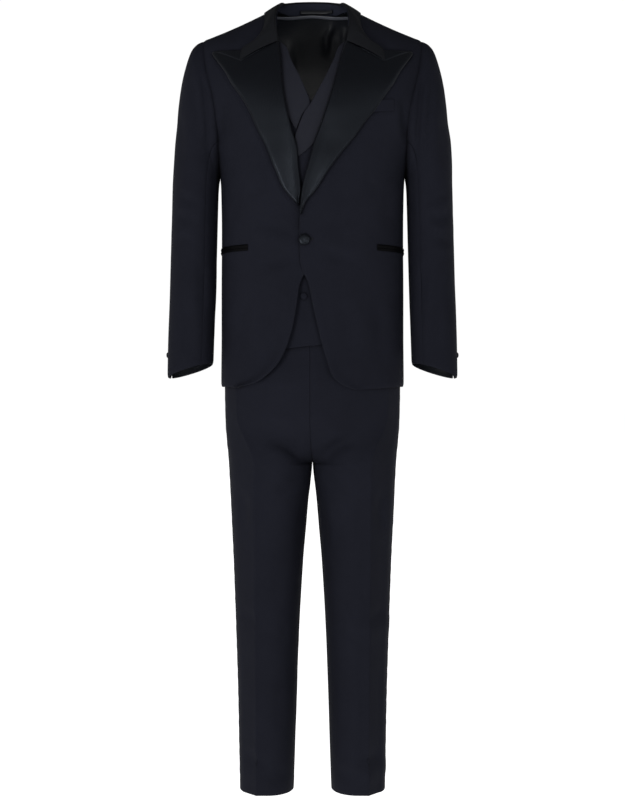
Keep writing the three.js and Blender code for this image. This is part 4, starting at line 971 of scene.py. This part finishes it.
def stand_point(s, t, depth):
    front = on_torso(spot_at(*np.array(STAND_FRONT, float).T, -1))
    back = on_torso(neck_spot(np.array([1, 0.75, 0.5, 0.25, 0]), 1))
    seam = np.concatenate([front, back]) + (0, 0, STAND_SEAM)
    low = spline(np.concatenate([seam, seam[-2::-1] * (-1, 1, 1)]), s)
    start = STAND_START / ((len(COLLAR) - 1) * 2)
    top = fold_point(mix(start, 1 - start, s))
    normal = outward(top)
    down = low - top
    down /= np.linalg.norm(down, axis=-1, keepdims=True)
    top = top + down * STAND_BELOW - normal * STAND_BEHIND
    level = normal * (1, 1, 0)
    level /= np.linalg.norm(level, axis=-1, keepdims=True)
    return mix(low, top, t[..., None]) - level * np.asarray(depth)[..., None]


def collar_stand():
    points = grid(lambda s, t: stand_point(s, t, np.zeros_like(s)), stations(120, 400), stations(10, 40))
    core, free = torso_core(points), ("s0", "s1", "t1")
    return garment("collar_stand", points, WALL, core, cloth("under_collar"), "wool", None, free)


# The loop's shares across and up the stand, how far it lies off the stand, and how far it bows
LOOP_ACROSS, LOOP_UP, LOOP_OFF, LOOP_BOW = (0.38, 0.56), (0.36, 0.55), 3.6, 1.2


def hanger_loop():
    def place(s, t):
        return stand_point(mix(*LOOP_ACROSS, s), mix(*LOOP_UP, t), LOOP_OFF + LOOP_BOW * np.sin(np.pi * t))

    points = grid(place, stations(40, 60), stations(6, 7))
    obj = shell("hanger_loop_cloth", points, 1.2, torso_core(points), cloth("lining"))
    return finish_piece(obj, "satin", "hanger_loop")


# ---- Pockets and buttons -------------------------------------------------------------------------


def breast_welt():
    inner_x, outer_x, inner_z, outer_z, height = WELT

    def place(s, t):
        x, z = mix(inner_x, outer_x, s), mix(inner_z, outer_z, s) + height * t
        return on_front(spot_at(x, z, -1), 1.5 - 0.5 * (1 - t) ** 3, 1)

    points = grid(place, stations(24, 50), stations(12, 22))
    core = torso_core(points)
    return garment("breast_welt", points, WELT_WALL, core, cloth("wool"), "wool", None, ALL_SIDES)


def hip_pocket(hand):
    name = sided("hip_pocket", hand)
    start, end = spot_at(hand * JET_X, JET_Z, -1), spot_round(hand * JET_BACK, JET_Z)

    def place(s, t):
        spot = mix(start, end, s[..., None])
        spot[..., 1] += (t - 0.5) * JET_HEIGHT - JET_DROP * s
        return on_torso(spot, 0.9 + np.abs(np.sin(2 * np.pi * t)))

    points = grid(place, stations(60, 110), np.linspace(0, 1, 17))
    return garment(name, points, JET_WALL, torso_core(points), cloth("piping"), "satin", None, ALL_SIDES)


# A covered button's outline from its underside to its top: share of the radius, share of the thickness
MOULD = [
    (0.02, 0), (0.8, 0), (0.93, 0.14), (1, 0.36), (0.99, 0.52), (0.94, 0.68), (0.84, 0.81), (0.66, 0.91), (0.4, 0.97),
    (0.02, 1),
]
GATHERS, GATHER_DEPTH, GATHERED_TO = 12, 0.012, 0.6


def covered_button(name, diameter, thick, seat, normal, cover):
    """A domed button mould with cloth drawn over it, gathered under its rim."""
    radius, around = diameter / 2, 48
    turn = Vector(normal).normalized().to_track_quat("Z", "Y")
    verts, faces = [], []
    for share, rise in MOULD:
        for angle in np.arange(around) * 2 * math.pi / around:
            gather = 1 + GATHER_DEPTH * math.cos(angle * GATHERS) * (rise < GATHERED_TO)
            reach = share * radius * gather
            at = Vector((math.cos(angle) * reach, math.sin(angle) * reach, rise * thick))
            verts.append(Vector(seat) + turn @ at)
    for ring in range(len(MOULD) - 1):
        for k in range(around):
            a, b = ring * around + k, ring * around + (k + 1) % around
            faces.append((a, b, b + around, a + around))
    faces.append(tuple(range(around))[::-1])
    faces.append(tuple(range((len(MOULD) - 1) * around, len(MOULD) * around)))
    obj = mesh_object(f"{name}_cover", verts, faces, cover)
    uv = obj.data.uv_layers.new(name="cloth")
    for loop in obj.data.loops:
        at = turn.inverted() @ (obj.data.vertices[loop.vertex_index].co - Vector(seat) * MM)
        uv.data[loop.index].uv = at.xy
    return finish_piece(obj, "satin", name)


# ---- Sleeves -------------------------------------------------------------------------------------


SLEEVE_FOLDS = [
    ([(219, -104), (212, -160), (206, -230), (202, -306)], 7, 2.6), ([(236, -120), (228, -190), (224, -262)], 9, 1.5),
    ([(276, -392), (250, -404), (220, -398)], 10, 2.2), ([(272, -350), (244, -368), (212, -374)], 9, 1.7),
    ([(280, -452), (252, -444), (226, -452)], 9, 1.8), ([(262, -180), (258, -250), (264, -330)], 13, 1.6),
    ([(250, -548), (247, -620), (240, -690)], 12, 1.5), ([(222, -480), (216, -540), (220, -600)], 10, 1.3),
]
SLEEVE_BACK_FOLDS = [
    ([(208, -140), (206, -210), (212, -290)], 9, 2.3), ([(272, -376), (240, -396), (206, -390)], 10, 2.2),
    ([(276, -428), (246, -438), (214, -426)], 9, 1.8), ([(254, -200), (250, -270), (256, -340)], 13, 1.6),
    ([(248, -520), (244, -600), (236, -676)], 13, 1.5),
]


HEAD_TUCK = 4.5  # how far the sleeve's top row is drawn in under the body


def sleeve_part(hand, upper):
    name = sided(f"sleeve_{'top' if upper else 'under'}", hand)

    def place(s, t):
        hind = mix(HIND_TOP, HIND_CUFF, t)
        degrees = mix(hind, FORE_SEAM, s) if upper else mix(FORE_SEAM, 360 + hind, s)
        point = on_sleeve(t, degrees, hand)
        if upper:
            point[..., 2] += VENT_NOTCH * (1 - smooth(s, 0, 0.05)) * smooth(t, 0.94, 1)
        return point

    points = grid(place, stations(44, 250) if upper else stations(30, 150), stations(130, 650))
    middle = sleeve_middle(np.linspace(0, 1, points.shape[0]), hand)
    core = np.repeat(middle[:, None], points.shape[1], 1)
    sink = sewn(points, ["s0", "s1", "t0"]) + turned_edge(points, ["t1"])
    points = moved(points, core, sink)
    back = points[0] - points[2]
    points[0] += HEAD_TUCK * back / np.linalg.norm(back, axis=-1, keepdims=True)
    for folds, front in ((SLEEVE_FOLDS, True), (SLEEVE_BACK_FOLDS, False)):
        points = folded(points, mirrored(folds, hand, 1.0 if hand > 0 else 0.9), core, front)
    return garment(name, points, WALL, core, cloth("wool"), "wool", cloth("lining"), ("t1",))


# ---- Waistcoat -----------------------------------------------------------------------------------


def vest_lift(hand, point):
    across = smooth(np.abs(point[..., 0]), 60, 120)
    chest = VEST_OVER if hand > 0 else mix(VEST_UNDER, VEST_OVER, across)
    return mix(chest, VEST_NECK, smooth(point[..., 2], -90, -20))


def vest_side(share, side, hand):
    low = spot_at(hand * half_at(VEST_HEM), VEST_HEM, side)
    high = spot_at(hand * half_at(VEST_ARMHOLE_BOTTOM), VEST_ARMHOLE_BOTTOM, side)
    seam = mix(low, high, np.clip(share / VEST_SIDE_SHARE, 0, 1)[..., None])
    turn = np.pi * (1 - np.clip((share - VEST_SIDE_SHARE) / (1 - VEST_SIDE_SHARE), 0, 1))
    z = mix(VEST_ARMHOLE_BOTTOM, seam_height(VEST_SHOULDER_X), (1 + np.cos(turn)) / 2)
    hole = spot_at(hand * np.minimum(vest_armhole_x(z), half_at(z)), z, side)
    return np.where((share <= VEST_SIDE_SHARE)[..., None], seam, hole)


def vest_front(hand):
    name = sided("vest_front", hand)

    def place(s, t):
        spot = mix(on_curve(VEST_EDGE[hand], t, hand), vest_side(t, -1, hand), s[..., None])
        return on_torso(spot, vest_lift(hand, on_torso(spot)))

    points = grid(place, stations(30, 200), stations(110, 680))
    return garment(name, points, WALL, torso_core(points), cloth("wool"), "wool", cloth("lining"), ("s0", "t0", "t1"))


def vest_lapel(hand):
    name = sided("vest_lapel", hand)
    rows = np.asarray(VEST_LAPEL[hand], float)

    def place(s, t):
        at = mix(spline(rows[:, :2], t), spline(rows[:, 2:], t), s[..., None]) * (hand, 1)
        spot = spot_at(at[..., 0], at[..., 1], -1)
        roll = VEST_LAPEL_ROLL * np.sin(np.pi * np.clip(s / 0.6, 0, 1)) * np.exp(-3 * s)
        return on_torso(spot, vest_lift(hand, on_torso(spot)) + VEST_LAPEL_LIFT + roll)

    points = grid(place, stations(16, 50), stations(90, 290))
    core = torso_core(points)
    return garment(name, points, VEST_LAPEL_WALL, core, cloth("waistcoat"), "wool", None, ALL_SIDES)


def vest_back_points(s, t):
    """Places on the waistcoat's back, from its left side over the middle to its right side."""
    centre = spot_at(CENTRE, VEST_NECK_RISE, 1)
    neck, shoulder = (spot_at(x, seam_height(x), 1) for x in (VEST_NECK_X, VEST_SHOULDER_X))

    def neckline(share):
        return stack(mix(centre[0], neck[0], share), mix(centre[1], YOKE_LEVELS, share**2))

    def top(s):
        return back_top(s, VEST_NECK_SHARE, neckline, shoulder)

    hand, off = np.where(s < 0.5, -1, 1), np.abs(2 * s - 1)
    low = spot_at(CENTRE, VEST_BACK_HEM, 1)
    spot = back_spot(off, t, VEST_SIDE_SHARE, low, vest_side(t, 1, 1), top)
    return on_torso(spot, vest_lift(1, on_torso(spot))) * stack(hand, 1, 1)


VEST_BACK_FOLDS = [
    ([(40, 14), (38, -4), (30, -20), (26, -62)], 6, 2.6), ([(68, 2), (65, -30), (60, -66)], 6, 2.4),
    ([(-52, -20), (-46, -60), (-44, -110)], 9, 1.2),
]


def vest_back():
    points = grid(vest_back_points, stations(80, 400), stations(110, 660))
    points = folded(points, VEST_BACK_FOLDS, torso_core(points), False)
    return garment("vest_back", points, WALL, torso_core(points), cloth("lining"), "lining", None, ("t0", "t1"))


# The binding's shares across the back and up it, its wall, the gap to the back and how far it bows
BINDING_ACROSS, BINDING_FROM, BINDING_WALL, BINDING_GAP, BINDING_BOW = (0.27, 0.73), 0.976, 0.9, 0.4, 0.5


def neck_binding():
    """The satin band that binds the waistcoat's back neck on its inner side, pale as a painted highlight."""
    def place(s, t):
        return vest_back_points(mix(*BINDING_ACROSS, s), mix(BINDING_FROM, 1, t))

    points = grid(place, stations(50, 180), stations(6, 12))
    core = torso_core(points)
    bow = BINDING_BOW * np.sin(np.pi * np.linspace(0, 1, len(points)))[:, None]
    points = moved(points, core, -(WALL + BINDING_GAP + bow))
    obj = shell("vest_neck_binding", points, BINDING_WALL, core, cloth("binding"))
    return finish_piece(obj, "lining")


# ---- Trousers ------------------------------------------------------------------------------------


TROUSER_FRONT_FOLDS = [
    ([(14, -868), (54, -846), (98, -838)], 11, 2.2), ([(14, -900), (46, -926), (84, -944)], 12, 2.0),
    ([(12, -948), (22, -1004), (26, -1070)], 9, 1.8), ([(140, -930), (132, -976), (136, -1030)], 9, 1.9),
    ([(152, -1170), (118, -1188), (86, -1182)], 14, 1.6), ([(40, -1206), (64, -1222), (98, -1224)], 13, 1.5),
    ([(140, -1452), (112, -1470), (76, -1468)], 15, 2.4), ([(44, -1486), (72, -1500), (104, -1502)], 13, 1.8),
    ([(64, -1060), (70, -1120), (64, -1190)], 13, 1.1), ([(60, -1290), (66, -1360), (60, -1430)], 13, 1.1),
]
TROUSER_BACK_FOLDS = [
    ([(24, -838), (66, -862), (116, -858)], 13, 2.6), ([(18, -880), (56, -908), (104, -912)], 12, 2.2),
    ([(30, -1110), (70, -1124), (124, -1116)], 14, 1.9), ([(40, -1168), (84, -1176), (132, -1160)], 13, 1.6),
    ([(48, -1468), (88, -1480), (134, -1466)], 15, 2.0), ([(136, -900), (128, -960), (132, -1030)], 11, 1.6),
]


AT_CREASE = (0.578, 0.645)  # shares between which the columns lie closer, for the crease


def trouser_part(hand, side):
    name = sided(f"trouser_{'front' if side < 0 else 'back'}", hand)
    top = WAIST - WAISTBAND
    rise = CROTCH + (SEAT - CROTCH) * np.linspace(0, 1, 26)[1:] ** 1.7
    leg, fork = np.linspace(HEM, CROTCH - 60, 110)[1:], np.linspace(CROTCH - 60, CROTCH, 14)[1:]
    z = np.concatenate([[HEM, HEM + 1], leg, fork, rise, np.linspace(SEAT, top, 30)[1:]])
    s = np.sort(np.concatenate([stations(40, 200), np.linspace(*AT_CREASE, 8)]))
    s_grid, z_grid = np.meshgrid(s, z)
    points = on_trouser(s_grid, z_grid, side, hand)
    core = points.copy()
    core[..., 0] = hand * np.where(z_grid < CROTCH, (leg_outer(z_grid) + leg_inner(z_grid)) / 2, 60)
    core[..., 1] = 0
    points = moved(points, core, sewn(points, ["s1"], depth=0.5))
    folds = TROUSER_FRONT_FOLDS if side < 0 else TROUSER_BACK_FOLDS
    points = folded(points, mirrored(folds, hand, 1.0 if hand > 0 else 0.88), core, side < 0)
    return garment(name, points, WALL, core, cloth("wool"), "wool", None, ("t0",))


def waistband():
    def place(s, t):
        degrees, z = mix(0.4, 359.6, s), WAIST - WAISTBAND * (1 - t)
        point = on_torso(spot_round(np.where(degrees > 180, degrees - 360, degrees), z), WAIST_LIFT)
        point[..., 2] = z
        return point

    points = grid(place, stations(120, 950), stations(6, 38))
    return garment("waistband", points, WALL, torso_core(points), cloth("wool"), "wool", None, ALL_SIDES)


# ---- Stage ---------------------------------------------------------------------------------------


def look_at(obj, target):
    obj.rotation_euler = (Vector(target) - obj.location).to_track_quat("-Z", "Y").to_euler()


CAMERA_HEIGHT = -0.76  # metres, as are the places and sizes of the lights
FLOOR, FLOOR_RINGS, FLOOR_AROUND = -1600.0, (1000.0, 3000.0, 8000.0, 40000.0), 64

SKY = [(0.23, 1.02), (0.36, 0.2)]  # brightness of the world by the sine of its height
FLOOR_GLOW_AND_SHADE = {1: -0.4, 2: 0.16, 3: 0.22, 4: 1.0}  # painted shade on the floor: from and to which y in metres the floor's glow brightens, and how much, so that it stays dim in front of the suit

# name, place, what it faces, size, watts
LIGHTS = [
    ("Key", (-1.6, -2.7, -1.15), (0, 0, -0.55), 0.9, 41),
    ("Fill", (1.35, -3.0, -1.15), (0, 0, -0.5), 0.7, 15),
    ("Front", (0.0, -3.8, -0.28), (0, 0, -0.4), 0.5, 9),
]


def studio_board():
    # Painted studio board, lit from within like a light table: a white without gloss, whose glow is dimmer in front of
    # the suit as painted shade.
    material = bpy.data.materials.new("Painted Studio Board")
    material.use_nodes = True
    tree = material.node_tree
    shader = tree.nodes["Principled BSDF"]
    shader.inputs["Roughness"].default_value = 0.95
    shader.inputs["Specular IOR Level"].default_value = 0.1
    shader.inputs["Emission Color"].default_value = linear("#FFFFFF")
    place = add(tree, "ShaderNodeTexCoord").outputs["Object"]
    noise = add(tree, "ShaderNodeTexNoise", {"Scale": 3.0, "Detail": 3.0}, {"Vector": place})
    ramp = add(tree, "ShaderNodeValToRGB", None, {0: noise.outputs["Fac"]})
    for element, colour in zip(ramp.color_ramp.elements, ("#F4F4F5", "#F8F8F8")):
        element.color = linear(colour)
    tree.links.new(ramp.outputs[0], shader.inputs["Base Color"])
    parts = add(tree, "ShaderNodeSeparateXYZ", None, {0: place})
    # Painted shade: the floor's glow is dimmer in front of the suit than behind it.
    glow = add(tree, "ShaderNodeMapRange", {"interpolation_type": "SMOOTHSTEP", **FLOOR_GLOW_AND_SHADE}, {0: parts.outputs[1]})
    tree.links.new(glow.outputs[0], shader.inputs["Emission Strength"])
    return material


def studio_floor():
    around = FLOOR_AROUND
    turns = 2 * math.pi * np.arange(around) / around
    verts = [(0, 0, FLOOR)] + [(r * math.cos(a), r * math.sin(a), FLOOR) for r in FLOOR_RINGS for a in turns]
    faces = [(0, 1 + k, 1 + (k + 1) % around) for k in range(around)]
    for ring in range(len(FLOOR_RINGS) - 1):
        low, high = 1 + ring * around, 1 + (ring + 1) * around
        faces += [(low + k, high + k, high + (k + 1) % around, low + (k + 1) % around) for k in range(around)]
    ground = mesh_object("Floor", verts, faces, studio_board())
    ground.data.shade_flat()


def studio_air():
    """The studio's air: white up to a little above the horizon, and dim over the suit."""
    world = bpy.data.worlds.new("Studio")
    world.use_nodes = True
    tree = world.node_tree
    sky = add(tree, "ShaderNodeTexCoord")
    parts = add(tree, "ShaderNodeSeparateXYZ", None, {0: sky.outputs["Generated"]})
    ramp = add(tree, "ShaderNodeValToRGB", None, {0: parts.outputs[2]})
    for element, (position, level) in zip(ramp.color_ramp.elements, SKY):
        element.position, element.color = position, (level, level, level, 1)
    tree.links.new(ramp.outputs[0], tree.nodes["Background"].inputs["Color"])
    bpy.context.scene.world = world


def stage():
    settings = suit()
    camera = bpy.data.cameras.new("Camera")
    camera.lens, camera.sensor_width = settings.lens, 36.0
    holder = bpy.data.objects.new("Camera", camera)
    holder.location = (0, -settings.distance, CAMERA_HEIGHT)
    holder.rotation_euler = (math.pi / 2, 0, 0)
    bpy.context.collection.objects.link(holder)
    bpy.context.scene.camera = holder
    bpy.context.scene.view_settings.view_transform = "Standard"
    studio_floor()
    studio_air()
    for name, location, target, size, power in LIGHTS:
        light = bpy.data.lights.new(name, "AREA")
        light.size, light.energy = size, power
        lamp = bpy.data.objects.new(name, light)
        lamp.location = location
        bpy.context.collection.objects.link(lamp)
        look_at(lamp, target)


# ---- Add-on --------------------------------------------------------------------------------------


def colour_property(name, colour, description):
    return FloatVectorProperty(
        name=name, description=description, subtype="COLOR", size=3, min=0, max=1, default=linear(colour)[:3])


class SuitSettings(bpy.types.PropertyGroup):
    """Colours and sizes that a user would change"""

    wool: colour_property("Wool", "#15161D", "Darkest yarn of the jacket's and trousers' wool")
    waistcoat: colour_property("Waistcoat", "#191A21", "Darkest yarn of the waistcoat's lapels")
    # Painted shade: the collar's colour is darker than the wool to stand in for the shade on the collar.
    collar: colour_property("Collar", "#121316", "Darkest yarn of the collar's pressed leaf")
    # Partly painted light: the stand's felt is paler than the wool to stand in for the light that falls into the neck.
    under_collar: colour_property("Under Collar", "#20222B", "Felt of the collar's stand")
    satin: colour_property("Satin", "#0B0C0F", "Silk of the lapels and the covered buttons")
    # Painted shadow: the jets are near black to stand in for the shade in the pockets' openings.
    piping: colour_property("Piping", "#030304", "Satin of the hip pockets' jets")
    lining: colour_property("Lining", "#121418", "Lining of the jacket and the waistcoat's back")
    # Partly painted highlight: the binding's pale grey stands in for the light the satin catches below the collar.
    binding: colour_property("Binding", "#46484F", "Band that binds the waistcoat's back neck")
    thread: colour_property("Thread", "#15161C", "Silk of the buttonhole and the pick stitches")
    fold_gain: FloatProperty(name="Fold Depth", description="Deepens or flattens all folds", default=1.9, min=0, max=4)
    hem_flare: FloatProperty(
        name="Hem Flare", description="How far the jacket's hem stands off", default=0.005, min=0, unit="LENGTH")
    lapel_roll: FloatProperty(
        name="Lapel Roll", description="Radius of the lapels' turned front edge", default=0.0034, min=0.002,
        unit="LENGTH")
    button: FloatProperty(
        name="Front Button", description="Diameter of the button that closes the jacket", default=0.022, min=0.01,
        unit="LENGTH")
    lens: FloatProperty(
        name="Lens", description="Focal length for a 36 mm high picture", default=76.5, min=10, unit="CAMERA")
    distance: FloatProperty(
        name="Distance", description="From the camera to the middle of the suit", default=3.4, min=1, unit="LENGTH")


class SUIT_OT_stage(bpy.types.Operator):
    """Sets up the camera, the lights and the backdrop"""

    bl_idname = "suit.stage"
    bl_label = "Stage"

    def execute(self, context):
        stage()
        return {"FINISHED"}


class SUIT_OT_jacket_body(bpy.types.Operator):
    """Cuts the jacket's fronts, sides and back"""

    bl_idname = "suit.jacket_body"
    bl_label = "Jacket Body"

    def execute(self, context):
        for hand in HANDS:
            jacket_front(hand)
            jacket_side(hand)
            jacket_back(hand)
        return {"FINISHED"}


class SUIT_OT_sleeves(bpy.types.Operator):
    """Cuts both sleeves, each from a top and an under part"""

    bl_idname = "suit.sleeves"
    bl_label = "Sleeves"

    def execute(self, context):
        for hand in HANDS:
            sleeve_part(hand, True)
            sleeve_part(hand, False)
        return {"FINISHED"}


class SUIT_OT_lapels(bpy.types.Operator):
    """Faces the jacket's two peak lapels with satin"""

    bl_idname = "suit.lapels"
    bl_label = "Lapels"

    def execute(self, context):
        for hand in HANDS:
            jacket_lapel(hand)
        return {"FINISHED"}


class SUIT_OT_collar(bpy.types.Operator):
    """Makes the collar's leaf, its stand and the loop inside it"""

    bl_idname = "suit.collar"
    bl_label = "Collar"

    def execute(self, context):
        collar_leaf()
        collar_stand()
        hanger_loop()
        return {"FINISHED"}


class SUIT_OT_pockets(bpy.types.Operator):
    """Makes the breast welt and the two jetted hip pockets"""

    bl_idname = "suit.pockets"
    bl_label = "Pockets"

    def execute(self, context):
        breast_welt()
        for hand in HANDS:
            hip_pocket(hand)
        return {"FINISHED"}


class SUIT_OT_buttons(bpy.types.Operator):
    """Covers the buttons and seats them on their cloth"""

    bl_idname = "suit.buttons"
    bl_label = "Buttons"

    def execute(self, context):
        thick, x, z = FRONT_BUTTON
        seat = on_front(spot_at(x, z, -1), 0.5, 1)
        covered_button("front_button", suit().button / MM, thick, seat, outward(seat), cloth("satin"))
        diameter, thick, x, z = VEST_BUTTON
        seat = on_torso(spot_at(x, z, -1), VEST_OVER + 0.5)
        covered_button("vest_button", diameter, thick, seat, outward(seat), cloth("wool"))
        diameter, thick, share, degrees = CUFF_BUTTON
        for hand in HANDS:
            seat = on_sleeve(np.float64(share), degrees, hand)
            normal = (seat - sleeve_middle(share, hand)) * (1, 1, 0)
            covered_button(sided("cuff_button", hand), diameter, thick, seat, normal, cloth("satin"))
        return {"FINISHED"}


class SUIT_OT_waistcoat(bpy.types.Operator):
    """Cuts the waistcoat's fronts, lapels and back"""

    bl_idname = "suit.waistcoat"
    bl_label = "Waistcoat"

    def execute(self, context):
        for hand in HANDS:
            vest_front(hand)
            vest_lapel(hand)
        vest_back()
        neck_binding()
        return {"FINISHED"}


class SUIT_OT_trousers(bpy.types.Operator):
    """Cuts the trousers' four parts and their waistband"""

    bl_idname = "suit.trousers"
    bl_label = "Trousers"

    def execute(self, context):
        for hand in HANDS:
            trouser_part(hand, -1)
            trouser_part(hand, 1)
        waistband()
        return {"FINISHED"}


OPERATORS = (
    SUIT_OT_stage, SUIT_OT_jacket_body, SUIT_OT_sleeves, SUIT_OT_lapels, SUIT_OT_collar, SUIT_OT_pockets,
    SUIT_OT_buttons, SUIT_OT_waistcoat, SUIT_OT_trousers,
)


class SUIT_PT_panel(bpy.types.Panel):
    """Lists what makes the suit"""

    bl_idname = "SUIT_PT_panel"
    bl_label = "Evening Suit"
    bl_space_type = "VIEW_3D"
    bl_region_type = "UI"
    bl_category = "Suit"

    def draw(self, context):
        settings = context.scene.suit
        for setting in SuitSettings.__annotations__:
            self.layout.prop(settings, setting)
        for operator in OPERATORS:
            self.layout.operator(operator.bl_idname)


CLASSES = (SuitSettings, *OPERATORS, SUIT_PT_panel)


def register():
    for cls in CLASSES:
        bpy.utils.register_class(cls)
    bpy.types.Scene.suit = PointerProperty(type=SuitSettings)


def unregister():
    del bpy.types.Scene.suit
    for cls in reversed(CLASSES):
        bpy.utils.unregister_class(cls)


def main():
    register()
    bpy.ops.suit.stage()
    bpy.ops.suit.jacket_body()
    bpy.ops.suit.sleeves()
    bpy.ops.suit.lapels()
    bpy.ops.suit.collar()
    bpy.ops.suit.pockets()
    bpy.ops.suit.buttons()
    bpy.ops.suit.waistcoat()
    bpy.ops.suit.trousers()


if __name__ == "__main__":
    main()
